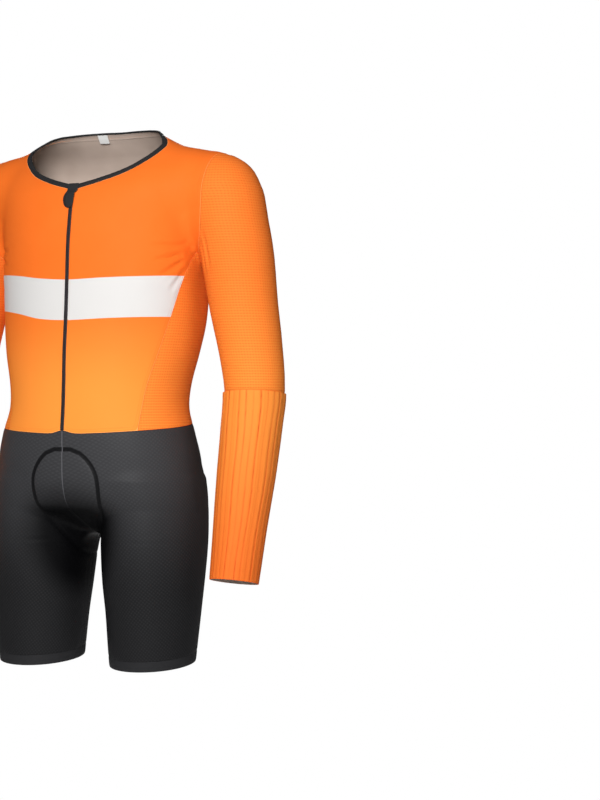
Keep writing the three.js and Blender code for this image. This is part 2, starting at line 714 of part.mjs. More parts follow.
add("yoke", wall(trimmed(sheet(patch({
  bottom: joined(yokeSide, yokeCentre, reversed(mirrored(yokeCentre)), reversed(mirrored(yokeSide))),
  right: reversed(mirrored(yokeEnd)),
  top: joined(waist.back, reversed(mirrored(waist.back))),
  left: reversed(yokeEnd),
})))), blackKnit);
addPair("seat", wall(trimmed(sheet(patch({
  bottom: hemTop.back,
  right: joined(reversed(inseam), crotchBack),
  top: yokeCentre,
  left: reversed(saddleArc),
})))), blackKnit);
const hemRing = ({ inner, outer, side, back }) => joined(inner, outer, side, back);
addPair("hem_gripper", wall(trimmed(sheet([hemRing(hemBottom), hemRing(hemTop)]))), blackTrim);

const crotchCurve = new THREE.CatmullRomCurve3(joined(crotchFront, crotchBack), false, "centripetal");
const padRows = spread(PAD_OUTLINE[0].place, PAD_OUTLINE.at(-1).place, PAD.rows).map((place) => {
  const middle = settled(crotchCurve.getPointAt(place));
  const { width } = at(PAD_OUTLINE, "place", place);
  return spread(-1, 1, PAD.columns).map((share) =>
    walk(middle, vec(Math.sign(share), 0, 0), Math.abs(share) * width));
});
add("seat_pad", wall(sheet(reversed(padRows)), {
  lift: () => -WALL - PAD.clear,
  depth: () => -WALL - PAD.clear - PAD.wall,
}), padFoam);

export default suit;
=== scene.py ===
import math
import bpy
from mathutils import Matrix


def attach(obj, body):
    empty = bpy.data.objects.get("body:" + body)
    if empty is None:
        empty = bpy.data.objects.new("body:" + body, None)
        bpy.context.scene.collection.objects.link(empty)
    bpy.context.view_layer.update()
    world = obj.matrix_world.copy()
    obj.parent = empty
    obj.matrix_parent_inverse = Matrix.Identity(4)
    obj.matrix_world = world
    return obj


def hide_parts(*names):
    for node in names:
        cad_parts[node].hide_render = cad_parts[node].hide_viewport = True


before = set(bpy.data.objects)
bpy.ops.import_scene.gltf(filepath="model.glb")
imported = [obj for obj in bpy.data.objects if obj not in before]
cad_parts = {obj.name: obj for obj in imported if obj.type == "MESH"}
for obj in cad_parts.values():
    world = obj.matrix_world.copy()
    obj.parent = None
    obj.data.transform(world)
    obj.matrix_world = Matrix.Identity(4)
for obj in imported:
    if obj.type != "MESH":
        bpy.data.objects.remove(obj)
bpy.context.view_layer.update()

from types import SimpleNamespace

import bpy
import numpy as np
from mathutils import Vector
from mathutils.kdtree import KDTree

# A time trial skinsuit in its worn form, with nobody in it. The numbers are millimetres until a mesh is made.
# The chest faces -Y and the wearer's left side is +X. The seams lie where the CAD pieces' seams lie.

MM = 0.001
FINE = 6  # cells of a scene piece for each cell of the CAD piece

# Driving sizes of the cut, as the CAD pieces have them
WALL = 1.4
WAIST_FRONT_Z, WAIST_BACK_Z = -468, -445
WAIST_PEAK, WAIST_PEAK_HALF_WIDTH = 5, 14
# The side panel at the waist, in degrees from the centre front
PANEL_FRONT, PANEL_MIDDLE, PANEL_BACK = 55, 90, 109
ARMHOLE_CENTRE = (20, -112)
ARMHOLE_FRONT, ARMHOLE_BACK = 163, 203
NECK_CENTRE_Y, NECK_SIDE = 20, 92
CROTCH = (8, -555)
ELBOW_SEAM, CUFF = 0.515, 0.938
YOKE_CENTRE_Z, YOKE_SIDE_Z, SADDLE_START = -527, -533, 42
HEM_Z, HEM_TILT, HEM_BAND = -829, 5.5, 16
HEM_INSEAM, HEM_FRONT, HEM_SIDE, HEM_ARC = -10, 118, 213, 262
BINDING_WIDTH = 8.5
ZIP_WIDTH, ZIP_WALL = 4.6, 2.0
PAD_CLEAR, PAD_WALL = 4.8, 5.0
CHEST_Z = -215
EVENING_PASSES, KEPT_PLACE, EVENED_PLACE = 4, 0.4, 0.6
BLEND_SHOULDER, BLEND_ARMPIT, BLEND_LEG, BLEND_THIGHS, BLEND_CROTCH = 34, 12, 26, 22, 12
SHOULDER_Z, ARMPIT_Z = -130, -200
LEGS_BELOW_Z, ARMS_BEYOND_X = -500, 110  # the legs and the arms shape the form only past these

# Cells of the CAD pieces along each seam
CELLS = SimpleNamespace(
    waist_front=10, side_front=2, side_back=2, waist_back=8,
    side_seam=11, armhole=9, shoulder=3, upper_sleeve=10,
    yoke_end=3, yoke_side=3, yoke_centre=5, arc=18,
    crotch_front=10, crotch_back=7, inseam_top=3, inseam=8, leg_inner=6, leg_outer=8,
)

# How finely the form's surface is searched for
FAR_AWAY = 1e9
SLOPE_STEP, SETTLING_ROUNDS, CLOSE_ENOUGH = 0.4, 10, 1e-3
CAST_STEP, CAST_REACH, CAST_HALVINGS, WALK_STEP = 4, 400, 22, 4


def table(columns, rows):
    """Rows of numbers with named columns, in the order of the first column."""
    values = np.array(sorted(rows), float)
    keys = values[:, :1]
    slopes = np.empty_like(values)
    slopes[1:-1] = (values[2:] - values[:-2]) / (keys[2:] - keys[:-2])
    slopes[0] = (values[1] - values[0]) / (keys[1] - keys[0])
    slopes[-1] = (values[-1] - values[-2]) / (keys[-1] - keys[-2])
    return SimpleNamespace(names=columns.split(), values=values, slopes=slopes)


# The torso, level by level. Depths run forward and back from the axis at axis_y.
TORSO = table("z half_width front back axis_y square", [
    [60, 55, 36, 46, 18, 2],
    [30, 76, 38, 54, 18, 2],
    [15, 92, 40, 61, 19, 2],
    [4, 105, 43, 70, 20, 2],
    [-5, 121, 47, 77, 21, 2.05],
    [-15, 141, 53, 85, 22, 2.1],
    [-27, 162, 62, 93, 23, 2.15],
    [-42, 178, 74, 101, 24, 2.2],
    [-60, 184, 90, 107, 25, 2.25],
    [-85, 183, 106, 112, 26, 2.3],
    [-120, 178, 117, 115, 28, 2.3],
    [-170, 173, 125, 114, 29, 2.3],
    [-222, 171, 127, 114, 28, 2.3],
    [-290, 168, 126, 114, 23, 2.25],
    [-340, 161, 121, 113, 14, 2.2],
    [-395, 149, 115, 111, 6, 2.2],
    [-430, 148, 113, 111, 2, 2.2],
    [-468, 159, 112, 121, -2, 2.2],
    [-510, 168, 111, 133, -2, 2.2],
    [-550, 170, 108, 136, -2, 2.15],
    [-580, 156, 94, 122, -2, 2.1],
    [-599, 126, 66, 90, 2, 2],
    [-614, 84, 40, 60, 6, 2],
    [-624, 50, 24, 36, 8, 2],
])

# The arm's line from inside the shoulder to past the cuff: x, y, z and radius.
ARM = np.array([
    [175, 24, -82, 52],
    [209, 25, -93, 60.5],
    [224, 24, -145, 59],
    [237, 22, -200, 57],
    [248, 19, -270, 53.5],
    [261, 17, -340, 49.5],
    [269, 14, -400, 47],
    [268, 4, -460, 47],
    [267, -12, -530, 45],
    [264, -28, -610, 41],
    [262, -44, -690, 37.5],
    [261, -53, -735, 36],
], float)

# The thigh, level by level, as an ellipse about its own axis.
LEG = table("z x y half_width half_depth", [
    [-540, 95, 10, 66, 94],
    [-575, 98, 9, 77, 100],
    [-610, 99, 6, 81, 98],
    [-650, 100, 2, 82, 93],
    [-700, 100.5, -2, 79.5, 86],
    [-750, 101, -4, 74.5, 79],
    [-800, 101, -6, 70, 74],
    [-850, 101, -7, 65.5, 70],
    [-900, 101, -7, 63, 67],
])

# Where the armhole lies across the shoulder, by the angle round it: 0 is the top and 180 the armpit.
ARMHOLE_LINE = table("angle x", [
    [0, 213], [45, 205], [90, 199], [130, 194], [150, 186], [168, 177], [180, 175], [195, 177], [215, 187],
    [240, 197], [270, 203], [315, 208], [360, 213],
])

# The neckline's height, by the angle round the neck: 0 is the centre front, 180 the centre back.
NECKLINE = table("angle z", [
    [0, -88], [25, -76], [45, -62], [62, -42], [76, -20], [92, 3], [115, 12], [145, 15], [180, 15],
])

# The two edges of the side panel, by the angle round the torso's axis and the height.
SIDE_SEAM_FRONT = [[57, -438], [60, -391], [63, -349], [67, -290], [74, -224]]
SIDE_SEAM_BACK = [[108, -380], [106, -300], [104, -235]]

# The saddle panel's outer edge, from the yoke round the seat and down the back of the leg to the hem band.
SADDLE_ARC = np.array([
    [80, 145, -541], [112, 128, -568], [133, 106, -610], [134, 92, -660], [126, 80, -730], [112, 71, -790],
], float)

# The pad's outline: the place along the crotch seam, from front to back, and the width from the middle.
PAD_OUTLINE = table("place width", [
    [0.07, 14], [0.09, 34], [0.16, 55], [0.26, 57], [0.36, 50], [0.46, 44],
    [0.56, 46], [0.66, 62], [0.76, 78], [0.86, 78], [0.93, 52], [0.96, 20],
])

# The outline of the zip's garage on the chest, from the top of the zip down.
GARAGE_OUTLINE = table("z right left", [
    [-78, -9, 9], [-90, -9, 9], [-93, -12, 6], [-100, -14.5, 5.5],
    [-108, -13.5, 5], [-114, -10, 4], [-117, -5, 1],
])

# The white band printed on the chest: its upper and lower edge, by the place across the chest.
BAND = table("x upper lower", [
    [-165, -214, -272], [-130, -217, -275], [-90, -221, -281], [-50, -226, -289],
    [0, -229, -292], [60, -227, -290], [120, -225, -288], [165, -223, -287],
])
NO_BAND = (500, 500, 0)  # what the back stores: far above the band, and none of the front's painted light


def curve_between(t, start, start_slope, end, end_slope):
    """Values on the smooth curve between two ends, with the slope at each of them."""
    return (
        (2 * t**3 - 3 * t**2 + 1) * start + (t**3 - 2 * t**2 + t) * start_slope
        + (3 * t**2 - 2 * t**3) * end + (t**3 - t**2) * end_slope
    )


def at(rows, place):
    """Every column of a table at some places along it, on a smooth curve through its rows."""
    keys = rows.values[:, 0]
    place = np.asarray(place, float)
    k = np.clip(np.searchsorted(keys, place) - 1, 0, len(keys) - 2)
    step = (keys[k + 1] - keys[k])[..., None]
    t = np.clip((place - keys[k])[..., None] / step, 0, 1)
    start, end = rows.values[k], rows.values[k + 1]
    found = curve_between(t, start, step * rows.slopes[k], end, step * rows.slopes[k + 1])
    return SimpleNamespace(**{name: found[..., i] for i, name in enumerate(rows.names)})


# The form that fills the suit

def points(*rows):
    return np.array(rows, float)


def length_of(v):
    return np.sqrt((v * v).sum(-1))


def run_along(line):
    """How far along a line each of its points lies."""
    return np.concatenate([[0], np.cumsum(length_of(np.diff(line, axis=0)))])


def unit(v):
    return v / np.maximum(length_of(v), 1e-9)[..., None]


def smooth_step(low, high, value):
    t = np.clip((value - low) / (high - low), 0, 1)
    return t * t * (3 - 2 * t)


def blended(a, b, softness):
    """The smaller of two distances, with their meeting line rounded."""
    near = np.maximum(softness - np.abs(a - b), 0) / softness
    return np.minimum(a, b) - near * near * softness / 4


def torso_field(p):
    s = at(TORSO, p[..., 2])
    forward = p[..., 1] - s.axis_y
    depth = np.where(forward < 0, s.front, s.back)
    across = (np.abs(p[..., 0]) / s.half_width) ** s.square
    ahead = (np.abs(forward) / depth) ** s.square
    reach = ((across + ahead) ** (1 / s.square) - 1) * np.minimum(s.half_width, depth)
    return -blended(-reach, p[..., 2] - TORSO.values[0, 0], BLEND_CROTCH)


def leg_field(p, side):
    s = at(LEG, p[..., 2])
    past = np.maximum(p[..., 2] - LEG.values[-1, 0], 0)
    across = (side * p[..., 0] - s.x) / s.half_width
    return (np.hypot(across, (p[..., 1] - s.y) / s.half_depth) - 1) * s.half_width + past


def on_curve(guides, t):
    """Points on a centripetal curve through the guides, where t counts the guides."""
    guides = np.asarray(guides, float)
    ends = [2 * guides[0] - guides[1]], guides, [2 * guides[-1] - guides[-2]]
    padded = np.concatenate(ends)
    t = np.asarray(t, float)
    k = np.clip(np.floor(t).astype(int), 0, len(guides) - 2)
    w = (t - k)[..., None]
    p0, p1, p2, p3 = (padded[k + i] for i in range(4))
    before, between, after = (
        np.sqrt(np.maximum(length_of(b - a), 1e-6))[..., None] for a, b in ((p0, p1), (p1, p2), (p2, p3)))
    start = ((p1 - p0) / before - (p2 - p0) / (before + between) + (p2 - p1) / between) * between
    end = ((p2 - p1) / between - (p3 - p1) / (between + after) + (p3 - p2) / after) * between
    return curve_between(w, p1, start, p2, end)


def place_on_curve(guides, shares):
    """Turns shares of a curve's length into places that on_curve takes."""
    steps = np.linspace(0, len(guides) - 1, 60 * (len(guides) - 1) + 1)
    line = on_curve(guides, steps)
    run = run_along(line)
    return np.interp(np.asarray(shares, float) * run[-1], run, steps)


ARM_STEPS = 33
arm_places = np.linspace(0, len(ARM) - 1, ARM_STEPS + 1)
arm_line = on_curve(ARM[:, :3], arm_places)
arm_radius = np.interp(arm_places, np.arange(len(ARM)), ARM[:, 3])
arm_run = run_along(arm_line)


def nearest_on_arm(p):
    """The distance from the arm's surface, and how far along the arm's line that is."""
    point = p * [1, 1, 1]
    point[..., 0] = np.abs(point[..., 0])
    nearest = np.full(p.shape[:-1], FAR_AWAY)
    run_at = np.zeros(p.shape[:-1])
    for i in range(ARM_STEPS):
        run = arm_line[i + 1] - arm_line[i]
        t = np.clip((point - arm_line[i]) @ run / (run @ run), 0, 1)
        reach = length_of(point - arm_line[i] - t[..., None] * run)
        reach = reach - (arm_radius[i] + t * (arm_radius[i + 1] - arm_radius[i]))
        closer = reach < nearest
        nearest = np.where(closer, reach, nearest)
        run_at = np.where(closer, arm_run[i] + t * (arm_run[i + 1] - arm_run[i]), run_at)
    return nearest, run_at


def field(p):
    """Below zero inside the form, above zero outside it."""
    reach = torso_field(p)
    low = p[..., 2] < LEGS_BELOW_Z
    if low.any():
        q = p[low]
        legs = blended(leg_field(q, 1), leg_field(q, -1), BLEND_THIGHS)
        reach[low] = blended(reach[low], legs, BLEND_LEG)
    wide = np.abs(p[..., 0]) > ARMS_BEYOND_X
    if wide.any():
        q = p[wide]
        up = smooth_step(ARMPIT_Z, SHOULDER_Z, q[..., 2])
        softness = BLEND_ARMPIT + up * (BLEND_SHOULDER - BLEND_ARMPIT)
        reach[wide] = blended(reach[wide], nearest_on_arm(q)[0], softness)
    return reach


def slope(p):
    sides = [field(p + SLOPE_STEP * axis) - field(p - SLOPE_STEP * axis) for axis in np.eye(3)]
    return np.stack(sides, -1) / (2 * SLOPE_STEP)


def normal_at(p):
    return unit(slope(p))


def settled(p):
    """Moves points straight on to the form."""
    p = p.copy()
    for _ in range(SETTLING_ROUNDS):
        reach = field(p)
        if np.abs(reach).max() < CLOSE_ENOUGH:
            break
        s = slope(p)
        p -= s * (reach / np.maximum((s * s).sum(-1), 0.1))[..., None]
    return p


def cast(start, direction):
    """The points where lines from inside the form leave it."""
    start, direction = np.broadcast_arrays(np.atleast_2d(start).astype(float), np.atleast_2d(direction))
    direction = unit(direction.astype(float))
    far = np.zeros(len(start))
    inside = field(start + 0.0) < 0
    while inside.any() and far.max() < CAST_REACH:
        far[inside] += CAST_STEP
        inside &= field(start + direction * far[:, None]) < 0
    near = np.maximum(far - CAST_STEP, 0)
    for _ in range(CAST_HALVINGS):
        middle = (near + far) / 2
        still_in = field(start + direction * middle[:, None]) < 0
        near = np.where(still_in, middle, near)
        far = np.where(still_in, far, middle)
    return start + direction * near[:, None]


def walk(start, direction, distance):
    """Walks over the form from some points, straight ahead, and gives where each walk ends."""
    p = np.atleast_2d(start).astype(float)
    ahead = np.broadcast_to(direction, p.shape).astype(float)
    distance = np.broadcast_to(distance, p.shape[:1]).astype(float)
    steps = max(math.ceil(distance.max() / WALK_STEP), 1)
    for _ in range(steps):
        n = normal_at(p)
        ahead = unit(ahead - n * (ahead * n).sum(-1)[:, None])
        p = settled(p + ahead * (distance / steps)[:, None])
    return p


# Seams

def seam(guides, cells):
    """A seam through a few guide points, as evenly spaced points on the form."""
    guides = np.asarray(guides, float)
    count = cells * FINE
    line = on_curve(guides, place_on_curve(guides, np.linspace(0, 1, count + 1)))
    line[1:-1] = settled(line[1:-1])
    return line


def spread(start, end, cells):
    return np.linspace(start, end, cells * FINE + 1)


def joined(*lines):
    return np.concatenate([lines[0]] + [line[1:] for line in lines[1:]])


def mirrored(line):
    return line * [-1, 1, 1]


def across_middle(line):
    """A line that ends at the middle, carried on over the other half."""
    return joined(line, mirrored(line)[::-1])


def round_z(angle):
    turn = np.radians(np.atleast_1d(np.asarray(angle, float)))
    return np.stack([np.sin(turn), -np.cos(turn), np.zeros_like(turn)], -1)


def on_torso(angle, z):
    """Points on the torso, by height and by the angle from the centre front."""
    around = round_z(angle)
    z = np.broadcast_to(z, around.shape[:1])
    axis = np.stack([0 * z, at(TORSO, z).axis_y, z], -1)
    return cast(axis, around)


def torso_points(*places):
    """One point on the torso for each angle and height."""
    return [on_torso(angle, z)[0] for angle, z in places]


def waist_points(angle):
    middle = (WAIST_FRONT_Z + WAIST_BACK_Z) / 2
    tilt = (WAIST_FRONT_Z - WAIST_BACK_Z) / 2
    line = on_torso(angle, middle + tilt * np.cos(np.radians(angle)))
    peak = WAIST_PEAK * np.exp(-(line[:, 0] / WAIST_PEAK_HALF_WIDTH) ** 2)
    line[:, 2] += np.where(angle < 90, peak, 0)
    return settled(line)


def armhole_points(angle):
    x = at(ARMHOLE_LINE, angle).x
    start = np.stack([x, x * 0 + ARMHOLE_CENTRE[0], x * 0 + ARMHOLE_CENTRE[1]], -1)
    turn = np.radians(angle)
    return cast(start, np.stack([turn * 0, -np.sin(turn), np.cos(turn)], -1))


def neck_points(angle):
    z = at(NECKLINE, angle).z
    return cast(np.stack([z * 0, z * 0 + NECK_CENTRE_Y, z], -1), round_z(angle))


def on_front(x, z, forward=-1):
    x, z = np.broadcast_arrays(np.atleast_1d(np.asarray(x, float)), np.asarray(z, float))
    return cast(np.stack([x, at(TORSO, z).axis_y, z], -1), points([0, forward, 0]))


def on_back(x, z):
    return on_front(x, z, 1)


def arm_ring(share, angles):
    """A ring round the arm, square to its line. 0 is the underarm, 90 the front, 180 the outside."""
    line = ARM[:, :3]
    place = place_on_curve(line, [share, share + 1e-3])
    centre, ahead = on_curve(line, place)
    heading = unit(ahead - centre)
    inward = unit(points(-1, 0, 0) + heading * heading[0])
    forward = np.cross(inward, heading)
    turn = np.radians(angles)[:, None]
    return cast(centre, inward * np.cos(turn) + forward * np.sin(turn))


def leg_ring(angles, rise):
    """A ring round the leg, tilted as the hem is. 0 is the inner leg, 90 the front and 180 the outside."""
    s = at(LEG, HEM_Z + rise)
    turn = np.radians(angles)
    slant = math.tan(math.radians(HEM_TILT))
    return cast([s.x, s.y, HEM_Z + rise], np.stack([-np.cos(turn), -np.sin(turn), -np.sin(turn) * slant], -1))


def on_leg(angle, z):
    s = at(LEG, z)
    turn = math.radians(angle)
    return cast([s.x, s.y, z], [-math.cos(turn), -math.sin(turn), 0])[0]


def under_crotch(angle):
    turn = math.radians(angle)
    return cast([0, *CROTCH], [0, -math.cos(turn), -math.sin(turn)])[0]


def side_seam(start, guides, end):
    last = walk(end, points(-1, 0, -0.3), 6)[0]
    return seam([start, *torso_points(*guides), last, end], CELLS.side_seam)


waist_front = waist_points(spread(0, PANEL_FRONT, CELLS.waist_front))
waist_side_front = waist_points(spread(PANEL_FRONT, PANEL_MIDDLE, CELLS.side_front))
waist_side_back = waist_points(spread(PANEL_MIDDLE, PANEL_BACK, CELLS.side_back))
waist_back = waist_points(spread(PANEL_BACK, 180, CELLS.waist_back))
armhole_front = armhole_points(spread(ARMHOLE_FRONT, 0, CELLS.armhole))
armhole_under = armhole_points(spread(ARMHOLE_FRONT, ARMHOLE_BACK, CELLS.side_front + CELLS.side_back))
armhole_back = armhole_points(spread(ARMHOLE_BACK, 360, CELLS.armhole))
neck_front = seam(neck_points(np.linspace(0, NECK_SIDE, 15)), CELLS.waist_front)
neck_back = seam(neck_points(np.linspace(NECK_SIDE, 180, 11)), CELLS.waist_back)
shoulder_seam = seam([neck_front[-1], armhole_front[-1]], CELLS.shoulder)
side_seam_front = side_seam(waist_front[-1], SIDE_SEAM_FRONT, armhole_front[0])
side_seam_back = side_seam(waist_back[0], SIDE_SEAM_BACK, armhole_back[0])
chest = seam(
    [*torso_points((0, CHEST_Z), (25, -213), (50, -209), (66, -204)), armhole_front[0]], CELLS.waist_front)
centre_low = seam(
    [waist_front[0], *torso_points((0, -400), (0, -340), (0, -270)), chest[0]], CELLS.side_seam)
centre_high = seam(
    [chest[0], *torso_points((0, -180), (0, -140), (0, -110)), neck_front[0]],
    CELLS.armhole + CELLS.shoulder)
yoke_corner = on_torso(PANEL_BACK, YOKE_SIDE_Z)[0]
yoke_end = seam([waist_back[0], *torso_points((PANEL_BACK, -490)), yoke_corner], CELLS.yoke_end)
saddle_start = on_back(SADDLE_START, YOKE_CENTRE_Z)[0]
yoke_side = seam(
    [yoke_corner, *torso_points((132, YOKE_SIDE_Z + 1), (150, YOKE_SIDE_Z + 3)), saddle_start],
    CELLS.yoke_side)
yoke_centre = seam(
    [saddle_start, on_back(20, YOKE_CENTRE_Z)[0], on_back(0, YOKE_CENTRE_Z)[0]], CELLS.yoke_centre)
crotch = under_crotch(90)
crotch_front = seam(
    [waist_front[0], on_front(0, -500)[0], on_front(0, -530)[0], under_crotch(20), under_crotch(50), crotch],
    CELLS.crotch_front)
crotch_back = seam(
    [crotch, under_crotch(130), under_crotch(160), on_back(0, -550)[0], yoke_centre[-1]], CELLS.crotch_back)


def hem_lines(rise):
    return SimpleNamespace(
        inner=leg_ring(spread(HEM_INSEAM, HEM_FRONT, CELLS.leg_inner), rise),
        outer=leg_ring(spread(HEM_FRONT, HEM_SIDE, CELLS.leg_outer), rise),
        side=leg_ring(spread(HEM_SIDE, HEM_ARC, CELLS.yoke_side), rise),
        back=leg_ring(spread(HEM_ARC, HEM_INSEAM + 360, CELLS.yoke_centre), rise),
    )


hem_top = hem_lines(HEM_BAND)
hem_bottom = hem_lines(0)
inseam_top = seam([crotch, on_leg(HEM_INSEAM, -637), on_leg(HEM_INSEAM, -655)], CELLS.inseam_top)
inseam = joined(inseam_top, seam(
    [inseam_top[-1], *[on_leg(HEM_INSEAM, z) for z in (-690, -750, -800)], hem_top.inner[0]], CELLS.inseam))
saddle_arc = seam([saddle_start, *settled(SADDLE_ARC), hem_top.back[0]], CELLS.arc)
leg_top = joined(waist_front, waist_side_front, waist_side_back)
leg_split = CELLS.leg_inner * FINE
leg_middle = seam(
    [hem_top.outer[0], on_leg(HEM_FRONT, -740), on_leg(112, -650), *torso_points((38, -560), (35, -510)),
     leg_top[leg_split]],
    CELLS.crotch_front + CELLS.inseam_top + CELLS.inseam)
leg_side = seam(
    [hem_top.side[0], on_leg(210, -740), on_leg(206, -650), *torso_points((109, -580)), yoke_corner],
    CELLS.arc)


# Sheets of cloth on the form

def coons(bottom, right, top, left):
    """A grid between four lines, where the rows run from bottom to top."""
    u = np.linspace(0, 1, len(bottom))[None, :, None]
    v = np.linspace(0, 1, len(left))[:, None, None]
    sides = left[:, None] * (1 - u) + right[:, None] * u
    ends = bottom[None] * (1 - v) + top[None] * v
    corners = (
        left[0] * (1 - u) * (1 - v) + right[0] * u * (1 - v) + left[-1] * (1 - u) * v + right[-1] * u * v)
    return sides + ends - corners


def evened(grid):
    """Evens out a coarse grid's inner points on the form."""
    grid = grid.copy()
    grid[1:-1, 1:-1] = settled(grid[1:-1, 1:-1])
    for _ in range(EVENING_PASSES):
        around = (grid[1:-1, :-2] + grid[1:-1, 2:] + grid[:-2, 1:-1] + grid[2:, 1:-1]) / 4
        grid[1:-1, 1:-1] = settled(grid[1:-1, 1:-1] * KEPT_PLACE + around * EVENED_PLACE)
    return grid


def refined(values, axis):
    """Values between the coarse grid's lines, on smooth curves along one axis."""
    values = np.moveaxis(values, axis, 0)
    slopes = np.gradient(values, axis=0)
    place = np.linspace(0, len(values) - 1, (len(values) - 1) * FINE + 1)
    k = np.clip(np.floor(place).astype(int), 0, len(values) - 2)
    t = (place - k).reshape(-1, *[1] * (values.ndim - 1))
    found = curve_between(t, values[k], slopes[k], values[k + 1], slopes[k + 1])
    return np.moveaxis(found, 0, axis)


def patch(bottom, right, top, left):
    """A fine grid of cloth between four seams. It follows the evened coarse grid that the CAD piece has."""
    coarse = coons(*[line[::FINE] for line in (bottom, right, top, left)])
    moved = refined(refined(evened(coarse) - coarse, 0), 1)
    grid = coons(bottom, right, top, left) + moved
    grid[1:-1, 1:-1] = settled(grid[1:-1, 1:-1])
    grid[0], grid[-1], grid[:, 0], grid[:, -1] = bottom, top, left, right
    return grid


def tube(lower, upper, rows):
    """A fine grid between two rings, whose first and last points are the same."""
    v = np.linspace(0, 1, rows * FINE + 1)[:, None, None]
    grid = lower[None] * (1 - v) + upper[None] * v
    grid[1:-1] = settled(grid[1:-1])
    for _ in range(EVENING_PASSES * 8):
        inner = grid[:, :-1]
        around = (np.roll(inner, 1, 1)[1:-1] + np.roll(inner, -1, 1)[1:-1] + inner[:-2] + inner[2:]) / 4
        inner[1:-1] = inner[1:-1] * KEPT_PLACE + around * EVENED_PLACE
        grid[:, -1] = grid[:, 0]
    grid[1:-1] = settled(grid[1:-1])
    return grid


def grid_cells(ids):
    """The four corners of each cell in a grid of points."""
    return np.stack([ids[:-1, :-1], ids[:-1, 1:], ids[1:, 1:], ids[1:, :-1]], -1).reshape(-1, 4)


def sheet(*grids):
    """Joins grids into one sheet of cells, welded where they meet."""
    found, cells, first = [], [], 0
    for grid in grids:
        rows, columns = grid.shape[:2]
        ids = np.arange(rows * columns).reshape(rows, columns) + first
        found.append(grid.reshape(-1, 3))
        cells.append(grid_cells(ids))
        first += rows * columns
    found, cells = np.concatenate(found), np.concatenate(cells)
    _, kept, where = np.unique(np.round(found, 3), axis=0, return_index=True, return_inverse=True)
    return SimpleNamespace(points=found[kept], cells=where.reshape(-1)[cells])


def edge_loop(cells, count):
    """The next and the previous point along the sheet's open edges, or -1 inside the sheet."""
    start = cells.reshape(-1)
    end = np.roll(cells, -1, 1).reshape(-1)
    alone = ~np.isin(start * count + end, end * count + start)
    following = np.full(count, -1)
    leading = np.full(count, -1)
    following[start[alone]] = end[alone]
    leading[end[alone]] = start[alone]
    return following, leading


def nearest_edge(p, following):
    """For each point, its distance from the sheet's open edge and the place along that edge."""
    edge = np.flatnonzero(following >= 0)
    run = np.zeros(len(p))
    seen = set()
    for first in edge:
        k, total = first, 0.0
        while k not in seen:
            seen.add(k)
            run[k] = total
            total += length_of(p[following[k]] - p[k])
            k = following[k]
    tree = KDTree(len(edge))
    for i, k in enumerate(edge):
        tree.insert(p[k], i)
    tree.balance()
    near = np.array([tree.find(q)[1:] for q in p])
    k = edge[near[:, 0].astype(int)]
    distance = near[:, 1]
    leading = np.full(len(p), -1)
    leading[following[edge]] = edge
    for a, b in ((k, following[k]), (leading[k], k)):
        span = p[b] - p[a]
        t = np.clip(((p - p[a]) * span).sum(-1) / np.maximum((span * span).sum(-1), 1e-9), 0, 1)
        distance = np.minimum(distance, length_of(p - p[a] - span * t[:, None]))
    return distance, run[k]


# Folds, creases and grooves in the cloth

# Creases on the left half, and so on the right: where each starts and ends, its half width and its depth.
CREASES = points(
    [176, -34, -178, 136, -74, -176, 3.4, 1.9],
    [173, -32, -190, 138, -70, -200, 3.2, 2.2],
    [170, -28, -202, 144, -62, -224, 3.4, 2.0],
    [168, -20, -214, 154, -46, -248, 3.8, 1.5],
    [198, -36, -160, 212, -28, -214, 3.6, 1.3],
    [192, -30, -172, 198, -22, -226, 3.2, 1.1],
    [176, 68, -176, 146, 104, -196, 3.4, 1.9],
    [174, 72, -166, 146, 110, -172, 3.0, 1.6],
    [174, 66, -190, 152, 94, -222, 3.4, 1.7],
    [170, 60, -204, 158, 80, -250, 3.8, 1.3],
    [200, 70, -150, 214, 62, -206, 3.8, 1.1],
    [250, -36, -370, 282, -32, -378, 4.0, 0.5],
    [180, -24, -640, 30, -82, -634, 3.2, 0.35],
    [60, 96, -695, 140, 76, -690, 3.6, 0.4],
)
CREASE_STEPS = 6
CREASE_BANK = 0.45  # how much the cloth rises beside a crease, as a share of its depth
GENTLE_FOLDS = 0.35
PAD_GROOVE_WIDTH, PAD_GROOVE_DEPTH, PAD_SWELL = 3.8, 1.2, 1.3
PAD_GROOVE_SHADE = 3.3  # half the width of the painted shade along the groove that the pad's edge presses into the cloth
PAD_REACH = 90  # no point over the pad lies farther than this from the pad's middle line


def line_distance(p, start, end):
    """How far points lie from a straight line, and the share of its length that they lie beside."""
    span = end - start
    t = np.clip((p - start) @ span / (span @ span), 0, 1)
    return length_of(p - start - t[..., None] * span), t


crease_shares = np.linspace(0, 1, CREASE_STEPS + 1)[:, None]
crease_lines = [settled(row[:3] + crease_shares * (row[3:6] - row[:3])) for row in CREASES]


def creased(p):
    """How far the cloth sinks, in mm, at some points on the form."""
    q = p * [1, 1, 1]
    q[:, 0] = np.abs(q[:, 0])
    depth = np.zeros(len(p))
    for line, (half_width, deep) in zip(crease_lines, CREASES[:, 6:]):
        away, t = np.full(len(q), FAR_AWAY), np.zeros(len(q))
        for i in range(CREASE_STEPS):
            reach, share = line_distance(q, line[i], line[i + 1])
            t = np.where(reach < away, (i + share) / CREASE_STEPS, t)
            away = np.minimum(away, reach)
        fade = np.sin(np.pi * np.clip(t * 0.9 + 0.1, 0, 1)) ** 0.7
        bank = CREASE_BANK * np.exp(-(away / half_width - 2) ** 2)
        depth += deep * fade * (np.exp(-(away / half_width) ** 2) - bank)
    x, y, z = p.T
    across, along = x / 23 + 1.3 * np.sin(z / 61), z / 37 + 0.8 * np.sin(y / 29 + 1)
    ripple = np.sin(across) * np.sin(along) * np.sin(y / 41 + 0.4)
    return depth + GENTLE_FOLDS * ripple


